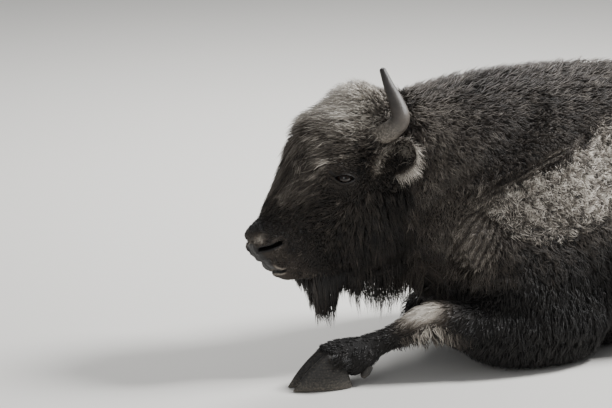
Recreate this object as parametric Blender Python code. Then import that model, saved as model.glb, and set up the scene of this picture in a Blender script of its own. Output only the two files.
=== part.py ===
"""A life-size wisent lying on its brisket, the left foreleg stretched forward.

The animal faces -X, its left side is -Y and the floor is z = 0. The flesh is one lofted body,
remeshed to a single skin and then parted into named nodes by thin flat cuts.
"""
import bpy
import bmesh
from math import pi, sin
from mathutils import Matrix, Vector

# ---------------------------------------------------------------- driving sizes, metres
HUMP_HEIGHT = 0.792
RUMP_X = 1.155
CUT_GAP = 0.0005
SOCKET_GAP = 0.0006
FLESH_VOXEL = 0.011
FLESH_TRIANGLES = 3780
RING_SIDES = 28

HEAD_ORIGIN = Vector((-0.599, 0.011, 0.608))
HEAD_FORWARD = Vector((-0.588, -0.238, -0.773)).normalized()
HEAD_LEFT = Vector((0.013, -0.958, 0.285))
HEAD_LEFT = (HEAD_LEFT - HEAD_FORWARD * HEAD_LEFT.dot(HEAD_FORWARD)).normalized()
HEAD_UP = HEAD_FORWARD.cross(HEAD_LEFT)

EYE_RADIUS = 0.0195
EYE_PLACE = (0.170, 0.045, 0.108)
HORN_BASE_RADIUS = 0.0300
HORN_TIP_RADIUS = 0.0065
BEARD_TOP = 0.262
MANE_TOP = 0.247

COLOURS = {
    "coat": (0.085, 0.062, 0.045),
    "mane": (0.045, 0.032, 0.024),
    "horn": (0.050, 0.045, 0.042),
    "hoof": (0.035, 0.030, 0.028),
    "eye": (0.015, 0.009, 0.006),
}
ROUGHNESS = {"coat": 0.85, "mane": 0.85, "horn": 0.45, "hoof": 0.6, "eye": 0.1}


# ---------------------------------------------------------------- small helpers
def clear_scene():
    for old in list(bpy.data.objects):
        bpy.data.objects.remove(old, do_unlink=True)


def material(kind, node):
    """A Principled material of one kind, one for each node."""
    made = bpy.data.materials.new(kind + "_" + node)
    made.use_nodes = True
    surface = made.node_tree.nodes["Principled BSDF"]
    surface.inputs["Base Color"].default_value = (*COLOURS[kind], 1.0)
    surface.inputs["Roughness"].default_value = ROUGHNESS[kind]
    return made


def new_object(name, shape):
    """Turn a finished bmesh into an object in the scene."""
    bmesh.ops.recalc_face_normals(shape, faces=shape.faces)
    mesh = bpy.data.meshes.new(name)
    shape.to_mesh(mesh)
    shape.free()
    made = bpy.data.objects.new(name, mesh)
    bpy.context.scene.collection.objects.link(made)
    return made


def bake(thing):
    """Replace an object's mesh with what its modifiers make of it."""
    bpy.context.view_layer.update()
    graph = bpy.context.evaluated_depsgraph_get()
    mesh = bpy.data.meshes.new_from_object(
        thing.evaluated_get(graph), preserve_all_data_layers=True, depsgraph=graph)
    thing.modifiers.clear()
    thing.data = mesh


def duplicate(thing, name):
    made = bpy.data.objects.new(name, thing.data.copy())
    bpy.context.scene.collection.objects.link(made)
    return made


def boolean(thing, cutter, operation):
    step = thing.modifiers.new("cut", "BOOLEAN")
    step.operation = operation
    step.solver = "EXACT"
    step.object = cutter
    thing.modifiers.new("triangles", "TRIANGULATE")
    bake(thing)


def discard(thing):
    bpy.data.objects.remove(thing, do_unlink=True)


def convex_zone(planes, grow):
    """The space behind every plane, each given as a point and an outward normal."""
    shape = bmesh.new()
    bmesh.ops.create_cube(shape, size=6.0)
    for point, normal in planes:
        outward = Vector(normal).normalized()
        geometry = shape.verts[:] + shape.edges[:] + shape.faces[:]
        bmesh.ops.bisect_plane(
            shape, geom=geometry, plane_co=Vector(point) + outward * grow,
            plane_no=outward, clear_outer=True)
        bmesh.ops.holes_fill(shape, edges=[edge for edge in shape.edges if edge.is_boundary])
    return new_object("zone", shape)


def part_off(body, name, planes):
    """Take the piece inside a zone from the body, leaving a thin gap."""
    piece = duplicate(body, name)
    inner = convex_zone(planes, 0.0)
    boolean(piece, inner, "INTERSECT")
    outer = convex_zone(planes, CUT_GAP)
    boolean(body, outer, "DIFFERENCE")
    discard(inner)
    discard(outer)
    return piece


def trim(body, planes):
    """Throw away what lies inside a zone."""
    zone = convex_zone(planes, 0.0)
    boolean(body, zone, "DIFFERENCE")
    discard(zone)


def finish(thing, kind):
    thing.data.materials.clear()
    thing.data.materials.append(material(kind, thing.name))
    for face in thing.data.polygons:
        face.use_smooth = True
    thing.data.set_sharp_from_angle(angle=0.9)


# ---------------------------------------------------------------- shape helpers
def signed_power(value, power):
    return abs(value) ** power * (1 if value >= 0 else -1)


def ring(shape, centre, side, up, width, rise, drop, top_power=2.0, low_power=2.4, sides=RING_SIDES):
    """One closed loop: an ellipse squared off above and below by its two powers."""
    loop = bmesh.ops.create_circle(shape, cap_ends=False, segments=sides, radius=1.0)
    corners = loop["verts"]
    for corner in corners:
        across, height = corner.co.x, corner.co.y
        power = 2.0 / (top_power if height >= 0 else low_power)
        reach = rise if height >= 0 else drop
        corner.co = (Vector(centre) + Vector(side) * (width * signed_power(across, power))
                     + Vector(up) * (reach * signed_power(height, power)))
    return corners


def loft(shape, rings):
    """Bridge a row of loops and close both ends."""
    edge_loops = []
    for corners in rings:
        found = {edge for corner in corners for edge in corner.link_edges}
        edge_loops.append(list(found))
    for first, second in zip(edge_loops, edge_loops[1:]):
        bmesh.ops.bridge_loops(shape, edges=first + second)
    bmesh.ops.contextual_create(shape, geom=edge_loops[0])
    bmesh.ops.contextual_create(shape, geom=edge_loops[-1])


def blob(shape, centre, radii, axes=None):
    """An ellipsoid with its three radii along three axes."""
    turn = Matrix.Identity(3) if axes is None else Matrix(axes).transposed()
    frame = Matrix.Translation(Vector(centre)) @ turn.to_4x4() @ Matrix.Diagonal((*radii, 1.0))
    bmesh.ops.create_icosphere(shape, subdivisions=3, radius=1.0, matrix=frame)


def smooth_path(points, steps):
    """Points of a rounded curve through the given points (Catmull-Rom)."""
    rows = [Vector(point) for point in points]
    rows = [rows[0] * 2 - rows[1]] + rows + [rows[-1] * 2 - rows[-2]]
    made = []
    for index in range(1, len(rows) - 2):
        p0, p1, p2, p3 = rows[index - 1:index + 3]
        for step in range(steps):
            t = step / steps
            made.append(0.5 * (2 * p1 + (p2 - p0) * t + (2 * p0 - 5 * p1 + 4 * p2 - p3) * t ** 2
                               + (3 * p1 - p0 - 3 * p2 + p3) * t ** 3))
    made.append(rows[-2])
    return made


def tube(shape, points, steps=4, sides=16):
    """A round bar along a curve; each point is x, y, z and radius."""
    path = smooth_path([point[:3] for point in points], steps)
    radii = smooth_path([(point[3], 0, 0) for point in points], steps)
    rings = []
    side = None
    for index, place in enumerate(path):
        ahead = path[min(index + 1, len(path) - 1)] - path[max(index - 1, 0)]
        ahead.normalize()
        if side is None:
            side = ahead.cross(Vector((0, 0, 1))).normalized()
        side = (side - ahead * side.dot(ahead)).normalized()
        up = side.cross(ahead)
        size = radii[index].x
        rings.append(ring(shape, place, side, up, size, size, size, 2.0, 2.0, sides))
    loft(shape, rings)


def limb(shape, points):
    """A tube of flesh with rounded ends."""
    tube(shape, points)
    for x, y, z, radius in (points[0], points[-1]):
        blob(shape, (x, y, z), (radius, radius, radius))


def on_head(along, up, left):
    """A place on the head: along the face, up from its middle and to its left."""
    return HEAD_ORIGIN + HEAD_FORWARD * along + HEAD_UP * up + HEAD_LEFT * left


def head_blob(shape, along, up, left, radii):
    axes = (HEAD_FORWARD, HEAD_UP, HEAD_LEFT)
    for turn in ((1, -1) if left else (1,)):
        blob(shape, on_head(along, up, left * turn), radii, axes)


# ---------------------------------------------------------------- flesh
def trunk_and_neck(shape):
    """Loops from the poll to the rump: x, top, bottom, half width, height of the widest part."""
    stations = (
        (-0.640, 0.705, 0.360, 0.115, 0.550, 2.0),
        (-0.580, 0.735, 0.250, 0.142, 0.530, 2.0),
        (-0.500, 0.750, 0.160, 0.172, 0.480, 2.0),
        (-0.410, 0.766, 0.090, 0.210, 0.430, 1.9),
        (-0.310, 0.781, 0.030, 0.245, 0.400, 1.8),
        (-0.190, 0.790, -0.008, 0.268, 0.370, 1.65),
        (-0.060, HUMP_HEIGHT, -0.018, 0.280, 0.350, 1.55),
        (0.080, 0.786, -0.020, 0.290, 0.335, 1.55),
        (0.230, 0.757, -0.020, 0.304, 0.320, 1.65),
        (0.400, 0.716, -0.020, 0.316, 0.310, 1.75),
        (0.580, 0.682, -0.020, 0.314, 0.310, 1.8),
        (0.740, 0.664, -0.018, 0.294, 0.320, 1.8),
        (0.880, 0.655, -0.014, 0.264, 0.330, 1.8),
        (0.990, 0.640, -0.004, 0.238, 0.340, 1.9),
        (RUMP_X - 0.085, 0.605, 0.030, 0.205, 0.345, 2.0),
        (RUMP_X - 0.030, 0.555, 0.090, 0.160, 0.345, 2.0),
        (RUMP_X, 0.470, 0.200, 0.095, 0.335, 2.0),
    )
    rings = []
    for x, top, bottom, width, middle, power in stations:
        centre = (x, 0.0, middle)
        rings.append(ring(shape, centre, (0, 1, 0), (0, 0, 1), width, top - middle,
                          middle - bottom, power, 2.7))
    loft(shape, rings)
    for side in (-1, 1):
        blob(shape, (0.82, 0.140 * side, 0.505), (0.180, 0.090, 0.104))
        blob(shape, (1.03, 0.095 * side, 0.430), (0.110, 0.090, 0.160))
    blob(shape, (0.95, 0.0, 0.540), (0.190, 0.110, 0.108))


def head_flesh(shape):
    """Loops along the face: place, top, bottom, half width and how square the top is."""
    stations = (
        (-0.120, 0.075, -0.130, 0.085, 2.0),
        (-0.085, 0.130, -0.155, 0.118, 2.2),
        (-0.040, 0.165, -0.165, 0.136, 2.3),
        (0.010, 0.190, -0.165, 0.140, 2.3),
        (0.065, 0.204, -0.160, 0.136, 2.3),
        (0.120, 0.200, -0.158, 0.127, 2.3),
        (0.170, 0.188, -0.152, 0.116, 2.3),
        (0.215, 0.182, -0.136, 0.104, 2.3),
        (0.260, 0.179, -0.112, 0.090, 2.3),
        (0.310, 0.177, -0.085, 0.081, 2.3),
        (0.350, 0.176, -0.058, 0.075, 2.4),
        (0.390, 0.179, -0.036, 0.071, 2.6),
        (0.420, 0.178, -0.022, 0.067, 2.6),
        (0.445, 0.155, -0.014, 0.058, 2.4),
        (0.465, 0.110, -0.004, 0.042, 2.2),
    )
    rings = []
    for along, top, bottom, width, power in stations:
        middle = bottom + (top - bottom) * 0.55
        centre = on_head(along, middle, 0.0)
        rings.append(ring(shape, centre, HEAD_LEFT, HEAD_UP, width, top - middle,
                          middle - bottom, power, 2.1))
    loft(shape, rings)
    head_blob(shape, 0.165, 0.062, 0.092, (0.050, 0.034, 0.026))
    head_blob(shape, 0.200, -0.075, 0.062, (0.130, 0.095, 0.046))
    head_blob(shape, 0.410, 0.112, 0.040, (0.042, 0.044, 0.032))
    head_blob(shape, 0.450, 0.022, 0.0, (0.028, 0.034, 0.040))
    head_blob(shape, -0.025, 0.088, 0.0, (0.098, 0.090, 0.138))


def hanging_hair(shape):
    """The beard and the throat mane, as level loops: place, half length and half width."""
    beard = (
        (-0.800, -0.060, 0.330, 0.085, 0.068),
        (-0.805, -0.078, 0.270, 0.088, 0.058),
        (-0.806, -0.098, 0.215, 0.070, 0.042),
        (-0.801, -0.115, 0.175, 0.043, 0.030),
        (-0.799, -0.128, 0.146, 0.018, 0.016),
    )
    mane = (
        (-0.640, -0.040, 0.400, 0.150, 0.130),
        (-0.640, -0.045, 0.320, 0.150, 0.125),
        (-0.635, -0.045, 0.255, 0.135, 0.105),
        (-0.620, -0.040, 0.200, 0.110, 0.080),
        (-0.600, -0.035, 0.165, 0.080, 0.055),
        (-0.585, -0.030, 0.148, 0.045, 0.035),
    )
    for levels in (beard, mane):
        rings = [ring(shape, (x, y, z), (1, 0, 0), (0, 1, 0), length, width, width, 2.0, 2.0)
                 for x, y, z, length, width in levels]
        loft(shape, rings)


def fore_flesh(shape):
    """Shoulders, the stretched left foreleg and the folded right one."""
    blob(shape, (-0.15, -0.150, 0.385), (0.25, 0.120, 0.280))
    blob(shape, (-0.21, -0.190, 0.24), (0.19, 0.120, 0.19))
    blob(shape, (-0.15, 0.150, 0.385), (0.25, 0.120, 0.280))
    blob(shape, (-0.21, 0.185, 0.25), (0.19, 0.120, 0.19))
    left_upper = ((-0.36, -0.170, 0.330, 0.105), (-0.27, -0.210, 0.210, 0.115),
                  (-0.17, -0.228, 0.112, 0.118), (-0.10, -0.228, 0.105, 0.100))
    left_lower = ((-0.17, -0.235, 0.104, 0.112), (-0.28, -0.245, 0.100, 0.106),
                  (-0.38, -0.250, 0.112, 0.090), (-0.47, -0.252, 0.143, 0.063),
                  (-0.535, -0.250, 0.160, 0.051), (-0.585, -0.247, 0.144, 0.044),
                  (-0.640, -0.243, 0.118, 0.038), (-0.690, -0.239, 0.099, 0.039),
                  (-0.735, -0.236, 0.077, 0.054), (-0.785, -0.235, 0.073, 0.054),
                  (-0.830, -0.235, 0.067, 0.051))
    right_upper = ((-0.36, 0.165, 0.330, 0.105), (-0.27, 0.200, 0.265, 0.112),
                   (-0.16, 0.224, 0.205, 0.102), (-0.11, 0.228, 0.200, 0.086))
    right_fore = ((-0.16, 0.230, 0.195, 0.096), (-0.24, 0.236, 0.145, 0.083),
                  (-0.31, 0.239, 0.092, 0.066), (-0.372, 0.240, 0.048, 0.055))
    right_cannon = ((-0.380, 0.244, 0.042, 0.052), (-0.335, 0.256, 0.032, 0.042),
                    (-0.28, 0.268, 0.030, 0.037), (-0.22, 0.278, 0.032, 0.037),
                    (-0.170, 0.284, 0.037, 0.043), (-0.13, 0.287, 0.041, 0.041),
                    (-0.08, 0.289, 0.038, 0.039))
    for line in (left_upper, left_lower, right_upper, right_fore, right_cannon):
        limb(shape, line)


def hind_flesh(shape):
    """The two folded hind legs, the left one a little further back."""
    for side, shift in ((-1, 0.02), (1, -0.02)):
        blob(shape, (0.83 + shift, 0.185 * side, 0.30), (0.25, 0.140, 0.215))
        thigh = ((0.93, 0.140, 0.40, 0.130), (0.84, 0.195, 0.34, 0.155),
                 (0.72, 0.240, 0.27, 0.145), (0.61, 0.270, 0.20, 0.118))
        shank = ((0.60, 0.275, 0.17, 0.110), (0.70, 0.298, 0.130, 0.098),
                 (0.81, 0.316, 0.095, 0.076), (0.90, 0.328, 0.072, 0.058),
                 (0.945, 0.333, 0.060, 0.051))
        cannon = ((0.950, 0.333, 0.050, 0.050), (0.88, 0.350, 0.036, 0.044),
                  (0.79, 0.365, 0.032, 0.039), (0.70, 0.378, 0.035, 0.038),
                  (0.635, 0.385, 0.047, 0.043), (0.595, 0.388, 0.055, 0.041),
                  (0.560, 0.390, 0.055, 0.037))
        for line in (thigh, shank, cannon):
            limb(shape, [(x + shift, y * side, z, r) for x, y, z, r in line])


def tail_flesh(shape):
    line = ((-0.080, 0.000, 0.555, 0.045), (0.010, 0.000, 0.530, 0.040),
            (0.062, 0.002, 0.450, 0.031), (0.080, 0.008, 0.340, 0.026),
            (0.088, 0.020, 0.230, 0.026), (0.098, 0.045, 0.125, 0.031),
            (0.112, 0.105, 0.052, 0.040), (0.114, 0.200, 0.036, 0.041),
            (0.100, 0.290, 0.028, 0.035), (0.082, 0.375, 0.014, 0.015))
    tube(shape, [(RUMP_X + x, y, z, radius) for x, y, z, radius in line])


def body_flesh():
    """All flesh and coat as one skin, cut level where it lies on the floor."""
    shape = bmesh.new()
    trunk_and_neck(shape)
    head_flesh(shape)
    hanging_hair(shape)
    fore_flesh(shape)
    hind_flesh(shape)
    tail_flesh(shape)
    flesh = new_object("trunk", shape)
    union = flesh.modifiers.new("union", "REMESH")
    union.mode = "VOXEL"
    union.voxel_size = FLESH_VOXEL
    bake(flesh)
    soft = flesh.vertex_groups.new(name="soft")
    plain = flesh.vertex_groups.new(name="plain")
    for corner in flesh.data.vertices:
        x, y, z = corner.co
        fine = x < -0.50 or (abs(y) > 0.33 and z < 0.14) or x > RUMP_X + 0.03
        soft.add([corner.index], 0.3 if fine else 1.0, "REPLACE")
        plain.add([corner.index], 0.92 if fine else 1.0, "REPLACE")
    soften = flesh.modifiers.new("soften", "SMOOTH")
    soften.factor = 0.5
    soften.iterations = 16
    soften.vertex_group = "soft"
    bake(flesh)
    triangles = sum(len(face.vertices) - 2 for face in flesh.data.polygons)
    fewer = flesh.modifiers.new("fewer", "DECIMATE")
    fewer.ratio = FLESH_TRIANGLES / triangles
    fewer.vertex_group = "plain"
    fewer.use_collapse_triangulate = True
    bake(flesh)
    trim(flesh, [((0, 0, 0), (0, 0, 1))])
    return flesh


# ---------------------------------------------------------------- hooves
SOLE_LENGTH = 0.134
CORONET_FRONT = (0.042, 0.096)
CORONET_BACK = (-0.016, 0.038)
CLAW_WIDTH = 0.050
WALL_BULGE = 0.010      # how far the front wall of a standing claw rounds forward
HEEL_BACK = -0.030      # the bulb of the heel, behind the coronet on a standing claw
CLAW_LEVELS = 4

FEET = {
    "fore_left": {"heel": (-0.792, -0.2355, 0.0), "heading": pi, "size": 1.0},
    "hind_left": {"heel": (0.600, -0.3895, 0.0), "heading": pi - 0.04, "size": 0.88},
    "hind_right": {"heel": (0.560, 0.3895, 0.0), "heading": pi + 0.04, "size": 0.88},
}


def foot_frame(foot):
    """Heel on the floor, +X towards the toes."""
    spec = FEET[foot]
    return (Matrix.Translation(Vector(spec["heel"])) @ Matrix.Rotation(spec["heading"], 4, "Z")
            @ Matrix.Scale(spec["size"], 4))


def folded_frame():
    """The right forefoot, folded back, rests on its front wall."""
    wall = Vector((SOLE_LENGTH - CORONET_FRONT[0], 0, -CORONET_FRONT[1])).normalized()
    out = Vector((-wall.z, 0, wall.x))
    axes = Matrix((wall, Vector((0, 1, 0)), out)).transposed()
    turned = Matrix(((1, 0, 0), (0, -1, 0), (0, 0, -1))) @ axes.inverted()
    toe = turned @ Vector((SOLE_LENGTH, 0, 0))
    place = Vector((0.010, 0.2895, -toe.z))
    return Matrix.Translation(place - Vector((toe.x, 0, 0))) @ turned.to_4x4() @ Matrix.Scale(0.97, 4)


def claw(name, frame, side, bulge=WALL_BULGE, heel=HEEL_BACK):
    """One half of a cloven hoof, lofted from the sole to the slanting coronet."""
    shape = bmesh.new()
    half = CLAW_WIDTH / 2
    rings = []
    for level in range(CLAW_LEVELS + 1):
        t = level / CLAW_LEVELS
        loop = bmesh.ops.create_circle(shape, cap_ends=False, segments=16, radius=1.0)
        front = SOLE_LENGTH + (CORONET_FRONT[0] - SOLE_LENGTH) * t + bulge * sin(pi * t)
        back = CORONET_BACK[0] * t + heel * (1 - t)
        swell = 1.0 + 0.05 * sin(pi * t) - 0.06 * (level == 0)
        for corner in loop["verts"]:
            reach = (corner.co.x + 1) / 2
            taper = 1 - 0.42 * reach ** 2.2 * (1 - 0.7 * t)
            low = 0.0
            high = CORONET_BACK[1] + (CORONET_FRONT[1] - CORONET_BACK[1]) * reach
            across = half * signed_power(corner.co.y, 0.8) * taper * swell
            inward = half * 0.20 * reach ** 2 * (1 - t)
            corner.co = (back + (front - back) * reach, side * (half + 0.0015 - inward) + across,
                         low + (high - low) * t)
        rings.append(loop["verts"])
    loft(shape, rings)
    bmesh.ops.transform(shape, matrix=frame, verts=shape.verts)
    return new_object(name, shape)


def coronet_planes(frame, depth):
    """The zone under the coronet, where the claws stand."""
    run = CORONET_FRONT[0] - CORONET_BACK[0]
    rise = CORONET_FRONT[1] - CORONET_BACK[1]
    toward = Vector((rise, 0, -run)).normalized()
    middle = Vector(((CORONET_FRONT[0] + CORONET_BACK[0]) / 2, 0,
                     (CORONET_FRONT[1] + CORONET_BACK[1]) / 2))
    turn = frame.to_3x3()
    scale = turn.col[0].length
    start = frame @ middle - turn @ toward / scale * (CUT_GAP * 2)
    end = start + turn @ toward / scale * depth
    out = (turn @ toward).normalized()
    across = (turn @ Vector((0, 1, 0))).normalized()
    up = across.cross(out)
    return [(start, -out), (end, out), (start + across * 0.09, across),
            (start - across * 0.09, -across), (start + up * 0.13, up), (start - up * 0.13, -up)]


DEWCLAWS = {
    "fore_left": ((-0.722, -0.236, 0.038), (-0.55, 0.0, -0.83), 0.026),
    "fore_right": ((-0.158, 0.285, 0.078), (0.80, 0.0, 0.60), 0.022),
    "hind_left": ((0.662, -0.384, 0.030), (-0.97, 0.0, -0.15), 0.035),
    "hind_right": ((0.622, 0.384, 0.030), (-0.97, 0.0, -0.15), 0.035),
}
DEWCLAW_ROWS = ((-0.016, 0.0115), (0.006, 0.0130), (0.020, 0.0060))


def dewclaw(name, place, pointing, grow=0.0):
    """A blunt little cone at the back of a fetlock."""
    shape = bmesh.new()
    ahead = Vector(pointing).normalized()
    side = ahead.cross(Vector((0, 0, 1))).normalized()
    up = side.cross(ahead)
    rings = []
    for reach, size in DEWCLAW_ROWS:
        reach += grow if reach > 0 else -grow
        size += grow
        rings.append(ring(shape, Vector(place) + ahead * reach, side, up, size, size, size,
                          2.0, 2.0, 7))
    loft(shape, rings)
    return new_object(name, shape)


def hooves(body):
    """Trim each leg at its coronet and stand two claws there; returns them by leg."""
    frames = {foot: foot_frame(foot) for foot in FEET}
    frames["fore_right"] = folded_frame()
    made = []
    for foot, frame in frames.items():
        trim(body, coronet_planes(frame, 0.16))
        outward = -1 if foot == "hind_right" else 1
        (x, y, z), pointing, spread = DEWCLAWS[foot]
        for part, side in (("outer", 1), ("inner", -1)):
            rounding = (0.0, 0.0) if foot == "fore_right" else (WALL_BULGE, HEEL_BACK)
            made.append(claw("hoof_" + foot + "_" + part, frame, side * outward, *rounding))
            away = spread * side * (1 if y > 0 else -1)
            place = (x, y + away, z)
            hole = dewclaw("hole", place, pointing, SOCKET_GAP)
            made.append(set_in(body, dewclaw("dewclaw_" + foot + "_" + part, place, pointing), hole))
    return made


# ---------------------------------------------------------------- horns, ears, eyes
def horn(name, side, grow=0.0):
    """A round horn: out from the skull, then up and inward to a blunt tip."""
    shrink = 1.0 if side > 0 else 0.93
    points = ((0.033, 0.031, 0.062, 0.94), (0.019, 0.019, 0.113, 0.93),
              (-0.001, 0.007, 0.150, 0.90), (-0.034, 0.006, 0.168, 0.83),
              (-0.067, 0.034, 0.159, 0.66), (-0.099, 0.070, 0.142, 0.44),
              (-0.128, 0.101, 0.130, 0.24))
    line = []
    for along, up, left, part in points:
        place = on_head(along * (shrink if along < 0 else 1.0), up * shrink, side * left * shrink)
        line.append((*place, max(HORN_BASE_RADIUS * part, HORN_TIP_RADIUS) + grow))
    root, second = Vector(line[0][:3]), Vector(line[1][:3])
    root += (root - second).normalized() * grow
    line[0] = (*root, line[0][3])
    shape = bmesh.new()
    tube(shape, line, steps=2, sides=12)
    return new_object(name, shape)


def ear(name, side):
    """A cupped leaf on a round stalk, its hollow turned outward and forward."""
    root = on_head(0.100, -0.046, side * 0.073)
    tip = on_head(0.008, -0.051, side * 0.195)
    length = (tip - root).normalized()
    facing = HEAD_FORWARD * 0.62 + HEAD_LEFT * side * 0.58 + HEAD_UP * 0.38
    facing = (facing - length * facing.dot(length)).normalized()
    across = length.cross(facing)
    reach = (tip - root).length
    rows = ((0.00, 0.024, 0.022, -0.022), (0.16, 0.030, 0.027, -0.016), (0.32, 0.044, 0.034, 0.006),
            (0.50, 0.053, 0.036, 0.018), (0.68, 0.052, 0.031, 0.014), (0.84, 0.039, 0.022, 0.006),
            (0.95, 0.020, 0.013, 0.000), (1.00, 0.007, 0.007, -0.002))
    shape = bmesh.new()
    rings = []
    for part, wide, back, front in rows:
        corners = bmesh.ops.create_circle(shape, cap_ends=False, segments=16, radius=1.0)["verts"]
        for corner in corners:
            behind = corner.co.y
            depth = back * behind if behind >= 0 else -front * behind
            corner.co = (root + length * (part * reach) + across * (corner.co.x * wide)
                         - facing * depth)
        rings.append(corners)
    loft(shape, rings)
    return new_object(name, shape)


def eye(name, side, grow=0.0):
    shape = bmesh.new()
    along, up, left = EYE_PLACE
    frame = Matrix.Translation(on_head(along, up, left * side))
    bmesh.ops.create_icosphere(shape, subdivisions=2, radius=EYE_RADIUS + grow, matrix=frame)
    return new_object(name, shape)


def set_in(body, made, hole):
    """Cut a socket in the body for a hard piece."""
    boolean(body, hole, "DIFFERENCE")
    discard(hole)
    return made


def head_fittings(body):
    """Horns and eyes in sockets, and the ears trimmed to the head."""
    made = []
    for label, side in (("left", 1), ("right", -1)):
        for kind, build in (("horn", horn), ("eye", eye)):
            hole = build("hole", side, SOCKET_GAP * (2 if kind == "horn" else 1))
            made.append((set_in(body, build(kind + "_" + label, side), hole), kind))
    swollen = duplicate(body, "swollen")
    wider = swollen.modifiers.new("wider", "DISPLACE")
    wider.strength = SOCKET_GAP
    wider.mid_level = 0.0
    bake(swollen)
    for label, side in (("left", 1), ("right", -1)):
        piece = ear("ear_" + label, side)
        boolean(piece, swollen, "DIFFERENCE")
        near_horn = horn("near_horn", side, SOCKET_GAP)
        boolean(piece, near_horn, "DIFFERENCE")
        discard(near_horn)
        made.append((piece, "coat"))
    discard(swollen)
    return made


# ---------------------------------------------------------------- nodes
def leg_zone(side, inner, front, back, top_front, top_back):
    """Outside an upright plane, under a sloping one and between two cross planes."""
    rise = top_back - top_front
    run = back - front
    return [((0, inner * side, 0), (0, -side, 0)), ((front, 0, 0), (-1, 0, 0)),
            ((back, 0, 0), (1, 0, 0)), ((front, 0, top_front), (-rise, 0, run))]


def part_flesh(flesh):
    """Hanging hair, tail, legs, head and neck in turn; the trunk is what is left."""
    pieces = [
        ("beard", [((0, 0, BEARD_TOP), (0, 0, 1)), ((-0.712, 0, 0), (1, 0, 0)),
                   ((0, 0, 0.12), (0, 0, -1)), ((0, -0.190, 0), (0, -1, 0))]),
        ("throat_mane", [((0, 0, MANE_TOP), (0, 0, 1)), ((-0.490, 0, 0), (1, 0, 0)),
                         ((0, -0.180, 0), (0, -1, 0)), ((0, 0.150, 0), (0, 1, 0))]),
        ("tail", [((RUMP_X + 0.022, 0, 0), (-1, 0, 0))]),
        ("foreleg_left", leg_zone(-1, 0.150, -0.95, 0.020, 0.215, 0.300)),
        ("foreleg_right", leg_zone(1, 0.150, -0.60, 0.020, 0.300, 0.260)),
        ("hindleg_left", leg_zone(-1, 0.190, 0.46, 1.100, 0.330, 0.470)),
        ("hindleg_right", leg_zone(1, 0.190, 0.42, 1.100, 0.330, 0.470)),
        ("head", [((-0.532, 0, 0.55), (1, 0, -0.06))]),
        ("neck", [((-0.335, 0, 0.45), (1, 0, 0.22))]),
    ]
    return [part_off(flesh, name, planes) for name, planes in pieces] + [flesh]


def stand_on_origin(things):
    """Parent everything to one empty that puts the origin under the middle of the box."""
    bpy.context.view_layer.update()
    corners = [thing.matrix_world @ corner.co for thing in things for corner in thing.data.vertices]
    middle = [(min(c[axis] for c in corners) + max(c[axis] for c in corners)) / 2 for axis in (0, 1)]
    wisent = bpy.data.objects.new("wisent", None)
    wisent.location = (-middle[0], -middle[1], 0.0)
    bpy.context.scene.collection.objects.link(wisent)
    for thing in things:
        thing.parent = wisent


def main():
    clear_scene()
    flesh = body_flesh()
    fittings = [(made, "hoof") for made in hooves(flesh)]
    fittings += head_fittings(flesh)
    pieces = [(made, "mane" if made.name in ("beard", "throat_mane") else "coat")
              for made in part_flesh(flesh)]
    for made, kind in fittings + pieces:
        finish(made, kind)
    stand_on_origin([made for made, kind in fittings + pieces])


main()
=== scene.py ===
# Wisent lying down, life size. Metres, facing -X, its left side towards -Y, floor at Z = 0.
# A hide inside the solids' outline carries a coat of mesh locks; horns, eyes and claws follow.
import math

import bmesh
import bpy
import numpy as np
from mathutils import Matrix, Vector, noise
from mathutils.bvhtree import BVHTree
from mathutils.kdtree import KDTree


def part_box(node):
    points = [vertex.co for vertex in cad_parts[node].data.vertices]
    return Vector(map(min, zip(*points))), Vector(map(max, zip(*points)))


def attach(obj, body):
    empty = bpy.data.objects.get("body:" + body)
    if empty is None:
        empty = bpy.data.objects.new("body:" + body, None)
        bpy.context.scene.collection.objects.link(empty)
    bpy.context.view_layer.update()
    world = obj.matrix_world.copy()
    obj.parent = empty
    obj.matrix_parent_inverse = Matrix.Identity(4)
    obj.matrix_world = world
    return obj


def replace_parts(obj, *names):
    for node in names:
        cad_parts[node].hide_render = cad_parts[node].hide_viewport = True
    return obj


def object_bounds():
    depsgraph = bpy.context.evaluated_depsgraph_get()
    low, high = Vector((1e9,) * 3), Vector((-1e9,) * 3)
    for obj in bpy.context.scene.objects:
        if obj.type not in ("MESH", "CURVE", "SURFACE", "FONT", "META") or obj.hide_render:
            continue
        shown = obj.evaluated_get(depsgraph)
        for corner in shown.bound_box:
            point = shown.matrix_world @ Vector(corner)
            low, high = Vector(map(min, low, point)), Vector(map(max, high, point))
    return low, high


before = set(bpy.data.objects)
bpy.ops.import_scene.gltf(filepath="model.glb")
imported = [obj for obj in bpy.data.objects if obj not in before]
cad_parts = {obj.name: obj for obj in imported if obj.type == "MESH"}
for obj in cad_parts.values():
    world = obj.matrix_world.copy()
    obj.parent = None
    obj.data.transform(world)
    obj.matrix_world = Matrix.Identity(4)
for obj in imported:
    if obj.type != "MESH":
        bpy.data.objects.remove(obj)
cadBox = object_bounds()
scene = bpy.context.scene


def linear(hexCode):
    # sRGB hex to a linear colour
    parts = [int(hexCode[i:i + 2], 16) / 255 for i in (1, 3, 5)]
    return [c / 12.92 if c <= 0.04045 else ((c + 0.055) / 1.055) ** 2.4 for c in parts] + [1.0]


def setInputs(tree, node, inputs):
    # an input takes a value, a socket, or a node, whose first live output is linked
    for name, value in inputs.items():
        if isinstance(value, bpy.types.Node):
            value = next(socket for socket in value.outputs if socket.enabled)
        if isinstance(value, bpy.types.NodeSocket):
            tree.links.new(value, node.inputs[name])
        else:
            node.inputs[name].default_value = value


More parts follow.
